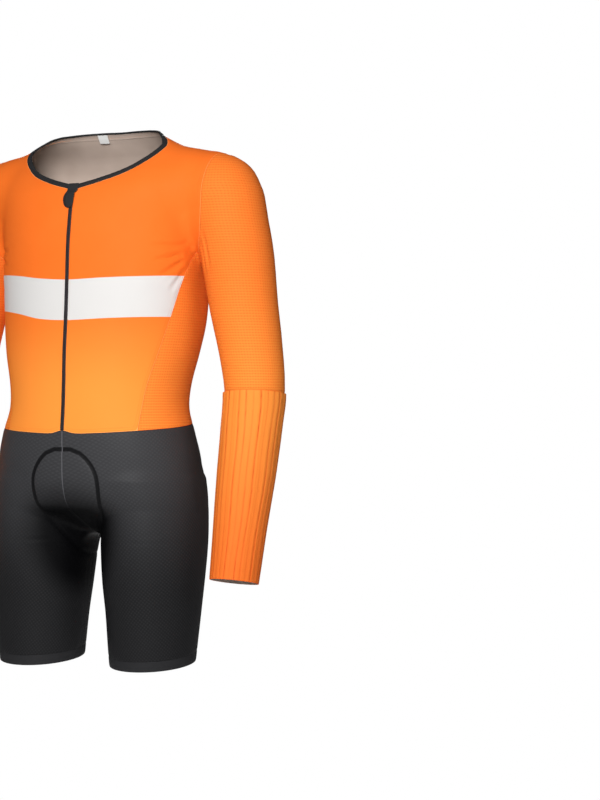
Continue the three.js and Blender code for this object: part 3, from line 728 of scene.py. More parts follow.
crotch_line = joined(crotch_front, crotch_back)[::FINE]


def pad_points(place, share):
    """Points on the form over the pad, by the place along the crotch seam and the share of its half width."""
    middle = settled(on_curve(crotch_line, place_on_curve(crotch_line, place)))
    across = points([1, 0, 0]) * np.sign(share)
    return walk(middle, across, np.abs(share) * at(PAD_OUTLINE, place).width)


pad_places = np.linspace(PAD_OUTLINE.values[0, 0], PAD_OUTLINE.values[-1, 0], 60)
pad_edge = np.concatenate([pad_points(pad_places, 1.0), pad_points(pad_places[::-1], -1.0)])
pad_ring = np.concatenate([pad_edge, pad_edge[:1]])
pad_core = pad_points(pad_places, 0.001)


def beside_pad(p):
    """How far points lie from the pad's outline, below zero over the pad."""
    normals = normal_at(p)
    away, turn = np.full(len(p), FAR_AWAY), np.zeros(len(p))
    for start, end in zip(pad_ring[:-1], pad_ring[1:]):
        reach = line_distance(p, start, end)[0]
        side = (np.cross(end - start, p - start) * normals).sum(-1)
        turn = np.where(reach < away, side, turn)
        away = np.minimum(away, reach)
    from_middle = np.min([length_of(p - q) for q in pad_core], axis=0)
    return np.where((turn < 0) & (from_middle < PAD_REACH), -away, away)


# Pieces of the suit

def own_mesh(name, vertices, faces, smooth_angle=40):
    mesh = bpy.data.meshes.new(name)
    mesh.from_pydata((vertices * MM).tolist(), [], [list(map(int, face)) for face in faces])
    mesh.polygons.foreach_set("use_smooth", np.ones(len(mesh.polygons), bool))
    mesh.set_sharp_from_angle(angle=math.radians(smooth_angle))
    mesh.update()
    return mesh


def add_object(name, data):
    found = bpy.data.objects.new(name, data)
    bpy.context.scene.collection.objects.link(found)
    return found


def piece(name, mesh, materials, node, slot):
    """A piece of the suit, which stands in for the CAD node of the same form."""
    found = add_object(name, mesh)
    for material in materials:
        mesh.materials.append(material)
    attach(found, "root")
    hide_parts(node)
    return found


def set_attribute(mesh, name, values):
    """Stores three numbers for each point, which a material reads by name."""
    values = np.column_stack([values, np.zeros((len(values), 3 - values.shape[1]))])
    stored = mesh.attributes.new(name, "FLOAT_VECTOR", "POINT")
    stored.data.foreach_set("vector", values.astype(np.float32).ravel())


def set_on_wall(mesh, name, values):
    """Stores the same numbers for a wall's outer points and for its inner points."""
    set_attribute(mesh, name, np.tile(values, (2, 1)))


# What turns an angle round a limb or the torso into mm across the knit
ARM_KNIT_RADIUS, LEG_KNIT_RADIUS, TORSO_KNIT_RADIUS = 48, 80, 145


def cloth_places(p, kind):
    """The place in the cloth, across and along the knit, in mm."""
    x, y, z = p.T
    if kind in ("arm", "upper arm"):
        run = nearest_on_arm(p)[1]
        centre = np.stack([np.interp(run, arm_run, arm_line[:, i]) for i in range(3)], -1)
        turn = np.arctan2(-(y - centre[:, 1]), centre[:, 0] - np.abs(x))
        return np.column_stack([np.mod(turn, 2 * np.pi) * ARM_KNIT_RADIUS, run if kind == "arm" else z])
    if kind == "leg":
        s = at(LEG, z)
        turn = np.arctan2(s.y - y, s.x - np.abs(x))
        return np.column_stack([np.mod(turn, 2 * np.pi) * LEG_KNIT_RADIUS, z])
    turn = np.arctan2(x, at(TORSO, z).axis_y - y)
    return np.column_stack([turn * TORSO_KNIT_RADIUS, z])


def mirrored_sheet(found):
    return SimpleNamespace(points=mirrored(found.points), cells=found.cells[:, ::-1])


SEAM_SINK, SEAM_SINK_WIDTH = 0.45, 1.8
EDGE_DRAWN_IN = 0.08  # how far each piece stays back from the next, so that no two share a face


def cloth(name, found, materials, node, slot, kind="torso", lift=None, seam_sink=SEAM_SINK):
    """A closed wall of cloth from a sheet on the form, with its outside and its inside material. Its points
    store their place in the weave, their distance from the piece's edge with the place along it, and how far
    they lie from the suit's middle."""
    p = found.points
    count = len(p)
    following, leading = edge_loop(found.cells, count)
    edge = np.flatnonzero(following >= 0)
    normals = normal_at(p)
    distance, run = nearest_edge(p, following)
    height = -creased(p) - seam_sink * np.exp(-(distance / SEAM_SINK_WIDTH) ** 2)
    if lift is not None:
        height = height + lift
    drawn_in = np.zeros_like(p)
    inward = np.cross(normals[edge], p[following[edge]] - p[leading[edge]])
    drawn_in[edge] = unit(inward) * EDGE_DRAWN_IN
    outer = p + drawn_in + normals * height[:, None]
    inner = p + drawn_in + normals * (height - WALL)[:, None]
    cells = found.cells
    rim = np.stack([edge, edge + count, following[edge] + count, following[edge]], -1)
    faces = np.concatenate([cells, cells[:, ::-1] + count, rim])
    mesh = own_mesh(name, np.concatenate([outer, inner]), faces)
    set_on_wall(mesh, "weave", cloth_places(p, kind))
    set_on_wall(mesh, "edge", np.column_stack([distance, run, np.abs(p[:, 0])]))
    made = piece(name, mesh, materials, node, slot)
    side = np.zeros(len(mesh.polygons), np.int32)
    side[len(cells):2 * len(cells)] = len(materials) - 1
    mesh.polygons.foreach_set("material_index", side)
    return made


# Materials

ORANGE, PATCH_ORANGE, MESH_ORANGE, RIB_ORANGE = "#DE6A25", "#DA641F", "#DE732B", "#DA6A27"
PAINTED_LIGHT_ORANGE, SEAM_HIGHLIGHT_ORANGE, DEEP_ORANGE, GROOVE_SHADE_RED = "#EE9E42", "#FFAE6A", "#DE4A12", "#B83008"
INSIDE_BEIGE, SHADED_BEIGE, OVERLOCK_BROWN = "#C4B2A6", "#AD9B8E", "#7A6A60"
BAND_WHITE, LABEL_WHITE, THREAD_GREY, FLOOR_WHITE = "#C2C0BE", "#DCDCDA", "#B8B8B6", "#F4F4F4"
BLACK, LIT_BLACK, SEAM_AND_SHADE_BLACK, INSIDE_BLACK = "#151516", "#3A3A3C", "#030304", "#101012"
TAPE_BLACK, HEM_BLACK, COIL_BROWN, CENTRE_HIGHLIGHT_GREY = "#0C0C0D", "#0F0F10", "#2A2226", "#66666A"
FOAM_BLACK, FOAM_GREY, PAINT_BLACK, WORN_PAINT = "#2C2C2E", "#4A4A4C", "#161618", "#2A2A2C"

# Spacings in mm. The knit's real ribs and rows are 0.5 mm apart and too fine to show.
WALE, COURSE = 1.6, 1.6
# The patterns' rows, dots and lines are as coarse as they need to show from where the suit is seen.
MESH_ROW, DOT_ROW, GRID_ROW, CROSS_LINE = 4.2, 4.2, 3.2, 3.7
DOT_SLANT = 38  # how steeply the dotted rows rise, in degrees
TAPE_CORD, COIL_PITCH, OVERLOCK_LOOP = 1.4, 1.3, 2.4
SATIN_ACROSS, SATIN_ALONG = 0.5, 0.7
THREAD, STITCH = 0.6, 2.0
PANEL_STITCHES, ZIP_STITCHES, TAPE_STITCHES = 2.2, 6.0, 1.6  # how far rows of stitches lie from an edge
CUFF_STITCHES = (14.5, 16.5)

# Shares of a second colour
SEAM_SHADE = 0.6
MESH_PAINTED_LIGHT = 0.3  # how much lighter the mesh is painted at the elbow and the waist: painted light
MESH_PAINTED_LIGHT_FROM_Z, MESH_PAINTED_LIGHT_TO_Z = -180, -430
PAST_BAND = 1000  # farther than any point lies from the band
RAISED_SHARE = 0.24  # how much lighter the shorts' raised dots and lines are painted: a painted highlight where they catch the light


def linear(colour):
    """An sRGB hex colour as linear red, green, blue and alpha."""
    parts = [int(colour[i:i + 2], 16) / 255 for i in (1, 3, 5)]
    return (*[c / 12.92 if c <= 0.04045 else ((c + 0.055) / 1.055) ** 2.4 for c in parts], 1)


def add_node(tree, kind, settings=None, links=None):
    """Adds a node, with its settings, and its inputs as numbers or as links."""
    node = tree.nodes.new(kind)
    for name, value in (settings or {}).items():
        setattr(node, name, value)
    for socket, value in (links or {}).items():
        if isinstance(value, bpy.types.NodeSocket):
            tree.links.new(value, node.inputs[socket])
        else:
            node.inputs[socket].default_value = value
    return node


def place_in_cloth(tree, name):
    """Three numbers that the piece stores for each of its points."""
    stored = add_node(tree, "ShaderNodeAttribute", {"attribute_name": name})
    return add_node(tree, "ShaderNodeSeparateXYZ", links={0: stored.outputs["Vector"]}).outputs


def wave(tree, place, spacing, sharpness=1.0):
    """Rounded ridges across a place in the cloth, from 0 to 1, one each spacing."""
    turn = add_node(tree, "ShaderNodeMath", {"operation": "MULTIPLY"}, {0: place, 1: math.pi / spacing})
    sine = add_node(tree, "ShaderNodeMath", {"operation": "SINE"}, {0: turn.outputs[0]})
    ridge = add_node(tree, "ShaderNodeMath", {"operation": "ABSOLUTE"}, {0: sine.outputs[0]})
    peak = add_node(tree, "ShaderNodeMath", {"operation": "POWER"}, {0: ridge.outputs[0], 1: sharpness})
    return peak.outputs[0]


def slanted(tree, across, along, degrees):
    """The place along a line that is turned in the cloth."""
    turn = math.radians(degrees)
    a = add_node(tree, "ShaderNodeMath", {"operation": "MULTIPLY"}, {0: across, 1: math.cos(turn)})
    return add_node(tree, "ShaderNodeMath", {"operation": "MULTIPLY_ADD"}, {
        0: along, 1: math.sin(turn), 2: a.outputs[0]}).outputs[0]


def product(tree, *factors):
    found = factors[0]
    for factor in factors[1:]:
        found = add_node(tree, "ShaderNodeMath", {"operation": "MULTIPLY"}, {0: found, 1: factor}).outputs[0]
    return found


def total(tree, *parts):
    found = parts[0]
    for part in parts[1:]:
        found = add_node(tree, "ShaderNodeMath", {"operation": "ADD"}, {0: found, 1: part}).outputs[0]
    return found


def strip(tree, value, low, high, soft):
    """1 where a value lies between two limits, fading to 0 past them."""
    rise = add_node(tree, "ShaderNodeMapRange", {"interpolation_type": "SMOOTHSTEP"}, {
        "Value": value, "From Min": low - soft, "From Max": low + soft})
    fall = add_node(tree, "ShaderNodeMapRange", {"interpolation_type": "SMOOTHSTEP"}, {
        "Value": value, "From Min": high - soft, "From Max": high + soft, "To Min": 1.0, "To Max": 0.0})
    return product(tree, rise.outputs[0], fall.outputs[0])


def toned(tree, factor, first, second):
    """A colour that goes from the first to the second as the factor goes from 0 to 1."""
    node = add_node(tree, "ShaderNodeMix", {"data_type": "RGBA"}, {"Factor": factor, "A": first, "B": second})
    return node.outputs["Result"]


def mottled(tree, size, detail=2.0):
    """Soft uneven patches about as large as size, in mm, from 0 to 1."""
    place = add_node(tree, "ShaderNodeTexCoord").outputs["Object"]
    noise = add_node(tree, "ShaderNodeTexNoise", links={
        "Vector": place, "Scale": 1 / (size * MM), "Detail": detail})
    return noise.outputs["Fac"]


def stitching(tree, distance, run, rows):
    """Rows of stitches beside a seam, at some distances from it."""
    lines = [strip(tree, distance, row - THREAD / 2, row + THREAD / 2, 0.25) for row in rows]
    dashes = strip(tree, wave(tree, run, STITCH), 0.35, 2.0, 0.15)
    return product(tree, total(tree, *lines), dashes)


def new_material(name, roughness):
    """A material, with its nodes and its shader."""
    material = bpy.data.materials.new(name)
    material.use_nodes = True
    shader = material.node_tree.nodes["Principled BSDF"]
    shader.inputs["Roughness"].default_value = roughness
    return material, material.node_tree, shader


def textured(tree, shader, tint, relief, bump_mm):
    """Gives a shader its colour, and its texture as a height of bump_mm at most."""
    tree.links.new(tint, shader.inputs["Base Color"])
    bump = add_node(tree, "ShaderNodeBump", links={
        "Height": relief, "Distance": bump_mm * MM, "Strength": 1.0})
    tree.links.new(bump.outputs[0], shader.inputs["Normal"])


def fabric(name, colour, build, specular, bump_mm, roughness, sheen=0.0):
    """A cloth material. build gives the colour and the height of its knit from its own tree."""
    material, tree, shader = new_material(name, roughness)
    shader.inputs["IOR"].default_value = 1.5
    shader.inputs["Specular IOR Level"].default_value = specular
    shader.inputs["Sheen Weight"].default_value = sheen
    shader.inputs["Sheen Roughness"].default_value = 0.4
    textured(tree, shader, *build(tree, linear(colour)), bump_mm)
    return material


def stored_places(tree, *names):
    return (place_in_cloth(tree, name) for name in names)


def seam_shaded(tree, tint, edge, shade):
    """The colour with a line of another shade along the piece's edge, where it turns into the seam."""
    line = strip(tree, edge[0], -1, 0.5, 0.4)
    return toned(tree, product(tree, line, SEAM_SHADE), tint, linear(shade))


def knit_grain(tree, weave):
    return product(tree, wave(tree, weave[0], WALE), wave(tree, weave[1], COURSE))


def smooth_knit(tree, colour):
    weave, edge, band = stored_places(tree, "weave", "edge", "band")
    stitches = stitching(tree, edge[0], edge[1], (PANEL_STITCHES, ZIP_STITCHES))
    printed = product(tree, strip(tree, band[0], -PAST_BAND, 0, 0.3), strip(tree, band[1], 0, PAST_BAND, 0.3))
    tint = toned(tree, mottled(tree, 60), colour, linear(PATCH_ORANGE))
    # Painted light: the front is painted lighter towards the waist, where the light falls brightest.
    tint = toned(tree, band[2], tint, linear(PAINTED_LIGHT_ORANGE))
    tint = toned(tree, printed, tint, linear(BAND_WHITE))
    tint = toned(tree, product(tree, stitches, 0.25), tint, linear(DEEP_ORANGE))
    # A painted highlight along the seams, where their edge catches the light.
    tint = seam_shaded(tree, tint, edge, SEAM_HIGHLIGHT_ORANGE)
    grain = product(tree, knit_grain(tree, weave), 0.5)
    return tint, total(tree, grain, product(tree, stitches, 0.6))


def mesh_knit(tree, colour):
    weave, edge = stored_places(tree, "weave", "edge")
    stitches = stitching(tree, edge[0], edge[1], (PANEL_STITCHES,))
    lines = wave(tree, weave[1], MESH_ROW, 3.0)
    holes = product(tree, lines, wave(tree, weave[0], MESH_ROW, 6.0))
    # Painted light: the mesh is painted lighter lower down, towards the elbow and the waist.
    low = add_node(tree, "ShaderNodeMapRange", {"interpolation_type": "SMOOTHSTEP"}, {
        "Value": weave[1], "From Min": MESH_PAINTED_LIGHT_FROM_Z, "From Max": MESH_PAINTED_LIGHT_TO_Z, "To Max": MESH_PAINTED_LIGHT})
    tint = toned(tree, low.outputs[0], colour, linear(PAINTED_LIGHT_ORANGE))
    tint = toned(tree, product(tree, lines, 0.22), tint, linear(DEEP_ORANGE))
    # Painted shade in the mesh's holes.
    tint = toned(tree, product(tree, holes, 0.3), tint, linear(GROOVE_SHADE_RED))
    tint = seam_shaded(tree, tint, edge, DEEP_ORANGE)
    return tint, total(tree, product(tree, lines, -0.5), product(tree, holes, -0.6), stitches)


def rib_knit(tree, colour):
    weave, edge, rib = stored_places(tree, "weave", "edge", "rib")
    # Painted light towards the elbow, then painted shade in the grooves between the cords.
    tint = toned(tree, rib[1], colour, linear(PAINTED_LIGHT_ORANGE))
    tint = toned(tree, product(tree, rib[0], 0.9), tint, linear(GROOVE_SHADE_RED))
    tint = seam_shaded(tree, tint, edge, DEEP_ORANGE)
    return tint, total(tree, knit_grain(tree, weave), stitching(tree, edge[0], edge[1], CUFF_STITCHES))


def inside_knit(tree, colour):
    weave, edge = stored_places(tree, "weave", "edge")
    overlock = product(tree, strip(tree, edge[0], 0.5, 5.0, 0.3), wave(tree, edge[1], OVERLOCK_LOOP))
    tint = toned(tree, mottled(tree, 40), colour, linear(SHADED_BEIGE))
    tint = toned(tree, product(tree, overlock, 0.35), tint, linear(OVERLOCK_BROWN))
    return tint, total(tree, knit_grain(tree, weave), overlock)


def shorts_knit(tree, colour, raised, height=1.0, centre_seam_highlight=0.0):
    """The shorts' black, with a painted highlight where the knit is raised, painted light brightest at the
    waist, dark seams, a painted highlight on the centre seam, painted shade along the pad's edge and painted
    shade between the legs.
    """
    edge, pad = stored_places(tree, "edge", "pad")
    # A painted highlight on the raised knit, and painted light that is brightest at the waist.
    lit = total(tree, product(tree, raised, RAISED_SHARE), pad[1])
    tint = toned(tree, lit, colour, linear(LIT_BLACK))
    # Painted shade along the groove at the pad's edge.
    pad_groove_shade = strip(tree, pad[0], -PAD_GROOVE_SHADE, PAD_GROOVE_SHADE, 0.7)
    tint = toned(tree, product(tree, pad_groove_shade, 0.85), tint, linear(SEAM_AND_SHADE_BLACK))
    tint = seam_shaded(tree, tint, edge, SEAM_AND_SHADE_BLACK)
    # A painted highlight along the centre seam.
    middle = strip(tree, edge[2], -1, 0.8, 0.4)
    tint = toned(tree, product(tree, middle, centre_seam_highlight), tint, linear(CENTRE_HIGHLIGHT_GREY))
    stitches = stitching(tree, edge[0], edge[1], (PANEL_STITCHES,))
    relief = total(tree, product(tree, raised, height), stitches)
    # Painted shade between the legs.
    return toned(tree, pad[2], tint, linear(SEAM_AND_SHADE_BLACK)), relief


def dotted_knit(tree, colour):
    weave = place_in_cloth(tree, "weave")
    rows, columns = (
        wave(tree, slanted(tree, weave[0], weave[1], turn), DOT_ROW, 1.2)
        for turn in (-DOT_SLANT, 90 - DOT_SLANT))
    return shorts_knit(tree, colour, product(tree, rows, columns), height=0.7, centre_seam_highlight=0.6)


def grid_knit(tree, colour):
    weave = place_in_cloth(tree, "weave")
    lines = product(tree, wave(tree, weave[0], GRID_ROW, 0.6), wave(tree, weave[1], GRID_ROW, 0.6))
    return shorts_knit(tree, colour, lines)


def line_knit(tree, colour):
    weave = place_in_cloth(tree, "weave")
    return shorts_knit(tree, colour, wave(tree, weave[1], CROSS_LINE, 1.5), centre_seam_highlight=0.2)


def plain_black(tree, colour):
    return toned(tree, mottled(tree, 3.0), colour, linear(LIT_BLACK)), mottled(tree, 0.8, 0.0)


def stitched_tape(tree, colour):
    weave, edge = stored_places(tree, "weave", "edge")
    cords = wave(tree, weave[1], TAPE_CORD, 0.7)
    stitches = stitching(tree, edge[0], edge[1], (TAPE_STITCHES,))
    tint = toned(tree, product(tree, cords, 0.5), colour, linear(LIT_BLACK))
    return tint, total(tree, product(tree, cords, 0.5), stitches)


def zip_coil(tree, colour):
    weave = place_in_cloth(tree, "weave")
    teeth = wave(tree, weave[1], COIL_PITCH)
    middle = strip(tree, weave[0], -0.2, 0.2, 0.15)
    # Painted shade between the teeth and down the middle groove.
    tint = toned(tree, teeth, linear(SEAM_AND_SHADE_BLACK), colour)
    return toned(tree, product(tree, middle, 0.8), tint, linear(SEAM_AND_SHADE_BLACK)), teeth


def satin_tape(tree, colour):
    weave = place_in_cloth(tree, "weave")
    threads = product(tree, wave(tree, weave[0], SATIN_ACROSS), wave(tree, weave[1], SATIN_ALONG))
    return toned(tree, product(tree, threads, 0.2), colour, linear(THREAD_GREY)), threads


def foam(tree, colour):
    return toned(tree, mottled(tree, 8.0), colour, linear(FOAM_GREY)), mottled(tree, 1.5)


def cast_metal():
    """Die-cast zinc, painted black: a hard satin skin that wears a little lighter in patches."""
    material, tree, shader = new_material("painted die-cast zinc", 0.35)
    tint = toned(tree, mottled(tree, 2.0), linear(PAINT_BLACK), linear(WORN_PAINT))
    textured(tree, shader, tint, mottled(tree, 0.6), 0.05)
    return material


# Polyester warp knit, sublimation printed: a smooth satin face, with the print's even colour, on which
# painted light is laid towards the waist and painted highlights along the seams.
POLYESTER_WARP_KNIT = fabric(
    "polyester warp knit", ORANGE, smooth_knit, specular=0.05, bump_mm=0.1, roughness=0.6)
# Polyester mesh: rows of small holes, drawn coarser than the real ones, which show as fine cross lines, with
# painted shade in the holes and painted light lower down, towards the elbow and the waist.
POLYESTER_MESH = fabric(
    "polyester mesh", MESH_ORANGE, mesh_knit, specular=0.05, bump_mm=0.22, roughness=0.65)
# Ribbed warp knit: raised cords run down the arm, with painted shade in the grooves between them and painted
# light towards the elbow.
RIBBED_WARP_KNIT = fabric(
    "ribbed warp knit", RIB_ORANGE, rib_knit, specular=0.06, bump_mm=0.12, roughness=0.6)
# The unprinted side of the same knits, greyish beige, with the overlocked seams on it.
UNPRINTED_KNIT = fabric(
    "unprinted knit", INSIDE_BEIGE, inside_knit, specular=0.1, bump_mm=0.1, roughness=0.75)
# Nylon and elastane knit with small raised dots in slanted rows, which catch the light.
DOTTED_NYLON_KNIT = fabric(
    "dotted nylon knit", BLACK, dotted_knit, specular=0.07, bump_mm=0.12, roughness=0.5)
# The same yarn as a fine grid, and with raised cross lines.
GRID_NYLON_KNIT = fabric(
    "grid nylon knit", BLACK, grid_knit, specular=0.07, bump_mm=0.15, roughness=0.5)
LINED_NYLON_KNIT = fabric(
    "cross-lined nylon knit", BLACK, line_knit, specular=0.07, bump_mm=0.15, roughness=0.5)
# Its inside, brushed and matt.
INSIDE_NYLON = fabric(
    "inside of nylon knit", INSIDE_BLACK, plain_black, specular=0.1, bump_mm=0.1, roughness=0.8)
# Woven elastic tape with fine cords across it, stitched near its edge.
ELASTIC_TAPE = fabric(
    "woven elastic tape", TAPE_BLACK, stitched_tape, specular=0.12, bump_mm=0.15, roughness=0.65)
# The same tape round the legs' hems, of the legs' own black.
HEM_TAPE = fabric(
    "woven elastic hem tape", HEM_BLACK, stitched_tape, specular=0.07, bump_mm=0.15, roughness=0.55)
# A nylon coil zip: fine hard teeth, a little glossier than the cloth, in a brownish black.
NYLON_COIL = fabric("nylon zip coil", COIL_BROWN, zip_coil, specular=0.2, bump_mm=0.2, roughness=0.45)
# Woven satin tape of the label, left bare.
SATIN_TAPE = fabric(
    "woven satin tape", LABEL_WHITE, satin_tape, specular=0.4, bump_mm=0.05, roughness=0.45)
# Moulded open-cell foam of the pad, with a brushed face.
MOULDED_FOAM = fabric(
    "moulded foam", FOAM_BLACK, foam, specular=0.2, bump_mm=0.3, roughness=0.9, sheen=0.1)
PAINTED_ZINC = cast_metal()

# Build

front = sheet(
    patch(waist_front, side_seam_front, chest, centre_low),
    patch(chest, joined(armhole_front, shoulder_seam[::-1]), neck_front, centre_high))
side_panel = sheet(patch(
    joined(waist_side_front, waist_side_back), side_seam_back, armhole_under, side_seam_front))
back_side = joined(side_seam_back, armhole_back, shoulder_seam[::-1])
back = sheet(patch(across_middle(waist_back), mirrored(back_side), across_middle(neck_back), back_side))
armhole_loop = joined(armhole_front, armhole_back[::-1], armhole_under[::-1])
loop_angles = 180 - joined(
    spread(ARMHOLE_FRONT, 0, CELLS.armhole), spread(0, ARMHOLE_BACK - 360, CELLS.armhole),
    spread(ARMHOLE_BACK - 360, ARMHOLE_FRONT - 360, CELLS.side_front + CELLS.side_back))
sleeve_upper = sheet(tube(arm_ring(ELBOW_SEAM, loop_angles), armhole_loop, CELLS.upper_sleeve))

RIB_COLUMNS, RIB_ROWS = 240, 60
rib_shares = np.linspace(CUFF, ELBOW_SEAM, RIB_ROWS + 1)
sleeve_lower = sheet(np.stack([
    arm_ring(share, np.linspace(0, 360, RIB_COLUMNS + 1)) for share in rib_shares]))

leg = sheet(
    patch(hem_top.inner, leg_middle, leg_top[:leg_split + 1], joined(inseam[::-1], crotch_front[::-1])),
    patch(hem_top.outer, joined(leg_side, yoke_end[::-1]), leg_top[leg_split:], leg_middle),
    patch(hem_top.side, saddle_arc[::-1], yoke_side, leg_side))
yoke = sheet(patch(
    across_middle(joined(yoke_side, yoke_centre)), mirrored(yoke_end)[::-1],
    across_middle(waist_back), yoke_end[::-1]))
seat = sheet(patch(hem_top.back, joined(inseam[::-1], crotch_back), yoke_centre, saddle_arc[::-1]))


def hem_ring(lines):
    return joined(lines.inner, lines.outer, lines.side, lines.back)


hem_gripper = sheet(coons(
    hem_ring(hem_bottom), np.linspace(hem_ring(hem_bottom)[-1], hem_ring(hem_top)[-1], 7), hem_ring(hem_top),
    np.linspace(hem_ring(hem_bottom)[0], hem_ring(hem_top)[0], 7)))


# How much lighter the shorts' black is painted, as painted light that is brightest at the waist: at the hems,
# at the waist and over the seat
SHORTS_PAINTED_LIGHT_LOW, SHORTS_PAINTED_LIGHT_TOP, SHORTS_PAINTED_LIGHT_BACK = 0.03, 0.7, 0.4
SHORTS_PAINTED_LIGHT_Z, SEAT_FROM_TO_Y = (-720, -480), (-30, 40)
# The dark hollow between the legs: its middle, how far its shade reaches and how dark it is
CROTCH_MIDDLE, HOLLOW_REACH, HOLLOW_SHADE = (0, -20, -618), (130, 75), 0.95


def pad_relief(found):
    """The lift of the cloth over the pad, with what its colour needs: the distance from the pad's outline,
    how much painted light it takes, brightest at the waist, and how much painted shade it takes between the
    legs."""
    away = beside_pad(found.points)
    groove = np.exp(-(away / PAD_GROOVE_WIDTH) ** 4)
    swell = PAD_SWELL * smooth_step(4, -22, away)
    x, y, z = found.points.T
    # Painted light: brightest at the waist, fading down the legs, and even over the seat.
    front = SHORTS_PAINTED_LIGHT_LOW + (SHORTS_PAINTED_LIGHT_TOP - SHORTS_PAINTED_LIGHT_LOW) * smooth_step(*SHORTS_PAINTED_LIGHT_Z, z)
    shorts_painted_light = front + (SHORTS_PAINTED_LIGHT_BACK - front) * smooth_step(*SEAT_FROM_TO_Y, y)
    # Painted shade between the legs.
    deep = HOLLOW_SHADE * smooth_step(*HOLLOW_REACH, length_of(found.points - CROTCH_MIDDLE))
    return swell - PAD_GROOVE_DEPTH * groove, np.column_stack([np.clip(away, -60, 60), shorts_painted_light, deep])


RIB_COUNT, RIB_HEIGHT = 28, 0.9
ELBOW_FLARE, FLARE_RUN = 1.8, 90
RIB_PAINTED_LIGHT = 0.42  # how much lighter the sleeve is painted at the elbow: painted light
elbow_run, cuff_run = (np.interp(share, [0, 1], [0, arm_run[-1]]) for share in (ELBOW_SEAM, CUFF))


def rib_relief(found):
    """The lift of the lower sleeve's cords, with how much painted shade the grooves take and how much painted
    light the sleeve takes towards the elbow.
    """
    across, run = cloth_places(found.points, "arm").T
    drift = 0.12 * np.sin(run / 61 + across / 37) + 0.07 * np.sin(run / 23 + across / 17)
    phase = across / (2 * np.pi * ARM_KNIT_RADIUS) * RIB_COUNT + drift
    cord = np.abs(np.sin(np.pi * phase))
    strong = 0.62 + 0.38 * np.sin(np.round(phase) * 2.4 + run / 150)
    near_elbow = smooth_step(elbow_run + FLARE_RUN, elbow_run, run)
    lift = RIB_HEIGHT * (0.35 + 0.65 * strong) * cord ** 0.45 + ELBOW_FLARE * near_elbow ** 3
    # Painted shade in the grooves between the cords.
    groove = (1 - cord) ** 4 * strong
    # Painted light towards the elbow.
    glow = RIB_PAINTED_LIGHT * smooth_step(cuff_run, elbow_run, run)
    return lift, np.column_stack([groove, glow])


def pair(name, found, materials, slot, relief=None, stored=None, **options):
    for side, half in (("left", found), ("right", mirrored_sheet(found))):
        lift, extra = relief(half) if relief else (None, None)
        made = cloth(f"{name}_{side}_cloth", half, materials, f"{name}_{side}", slot, lift=lift, **options)
        if stored:
            set_on_wall(made.data, stored, extra)
        yield made


FRONT_PAINTED_LIGHT, FRONT_PAINTED_LIGHT_Z = 0.5, (-240, -420)  # how much lighter the front is painted towards the waist: painted light, where the light falls brightest


def band_places(p):
    """How far points lie above the band's two edges, and how much painted light the front takes towards the
    waist.
    """
    edges = at(BAND, p[:, 0])
    # Painted light towards the waist.
    glow = FRONT_PAINTED_LIGHT * smooth_step(*FRONT_PAINTED_LIGHT_Z, p[:, 2])
    return np.column_stack([p[:, 2] - edges.upper, p[:, 2] - edges.lower, glow])


fronts = list(pair("front", front, [POLYESTER_WARP_KNIT, UNPRINTED_KNIT], "orange_knit"))
for made, half in zip(fronts, (front, mirrored_sheet(front))):
    set_on_wall(made.data, "band", band_places(half.points))
back_piece = cloth("back_cloth", back, [POLYESTER_WARP_KNIT, UNPRINTED_KNIT], "back", "orange_knit")
set_on_wall(back_piece.data, "band", np.tile(NO_BAND, (len(back.points), 1)))
side_panels = list(pair("side_panel", side_panel, [POLYESTER_MESH, UNPRINTED_KNIT], "orange_mesh"))
sleeves_upper = list(pair(
    "sleeve_upper", sleeve_upper, [POLYESTER_MESH, UNPRINTED_KNIT], "orange_mesh", kind="upper arm"))
sleeves_lower = list(pair(
    "sleeve_lower", sleeve_lower, [RIBBED_WARP_KNIT, UNPRINTED_KNIT], "orange_rib",
    rib_relief, "rib", kind="arm", seam_sink=0.2))
legs = list(pair(
    "leg", leg, [DOTTED_NYLON_KNIT, INSIDE_NYLON], "black_knit", pad_relief, "pad", kind="leg"))
seats = list(pair(
    "seat", seat, [LINED_NYLON_KNIT, INSIDE_NYLON], "black_knit", pad_relief, "pad", kind="leg"))
yoke_lift, yoke_beside_pad = pad_relief(yoke)
yoke_piece = cloth("yoke_cloth", yoke, [GRID_NYLON_KNIT, INSIDE_NYLON], "yoke", "black_knit", lift=yoke_lift)
set_on_wall(yoke_piece.data, "pad", yoke_beside_pad)
grippers = list(pair("hem_gripper", hem_gripper, [HEM_TAPE], "black_trim", kind="leg"))


# Trims and pad

def slab(top, under):
    """The points and faces of a closed solid between two grids of points, the top one facing out."""
    ids = np.arange(top.shape[0] * top.shape[1]).reshape(top.shape[:2])
    count = ids.size
    cells = grid_cells(ids)
    rim = np.concatenate([ids[0, :-1], ids[:-1, -1], ids[-1, :0:-1], ids[:0:-1, 0]])
    after = np.roll(rim, -1)
    sides = np.stack([rim, rim + count, after + count, after], -1)
    vertices = np.concatenate([top.reshape(-1, 3), under.reshape(-1, 3)])
    return vertices, np.concatenate([cells, cells[:, ::-1] + count, sides])


def trim(name, base, over, under, material, node, slot, places, beside_edge=None):
    """A piece between two heights over a grid of points on the form."""
    normals = normal_at(base)
    vertices, faces = slab(base + normals * over[..., None], base + normals * under[..., None])
    mesh = own_mesh(name, vertices, faces)
    set_on_wall(mesh, "weave", places.reshape(-1, 2))
    if beside_edge is not None:
        set_on_wall(mesh, "edge", beside_edge.reshape(-1, 2))
    return piece(name, mesh, [material], node, slot)


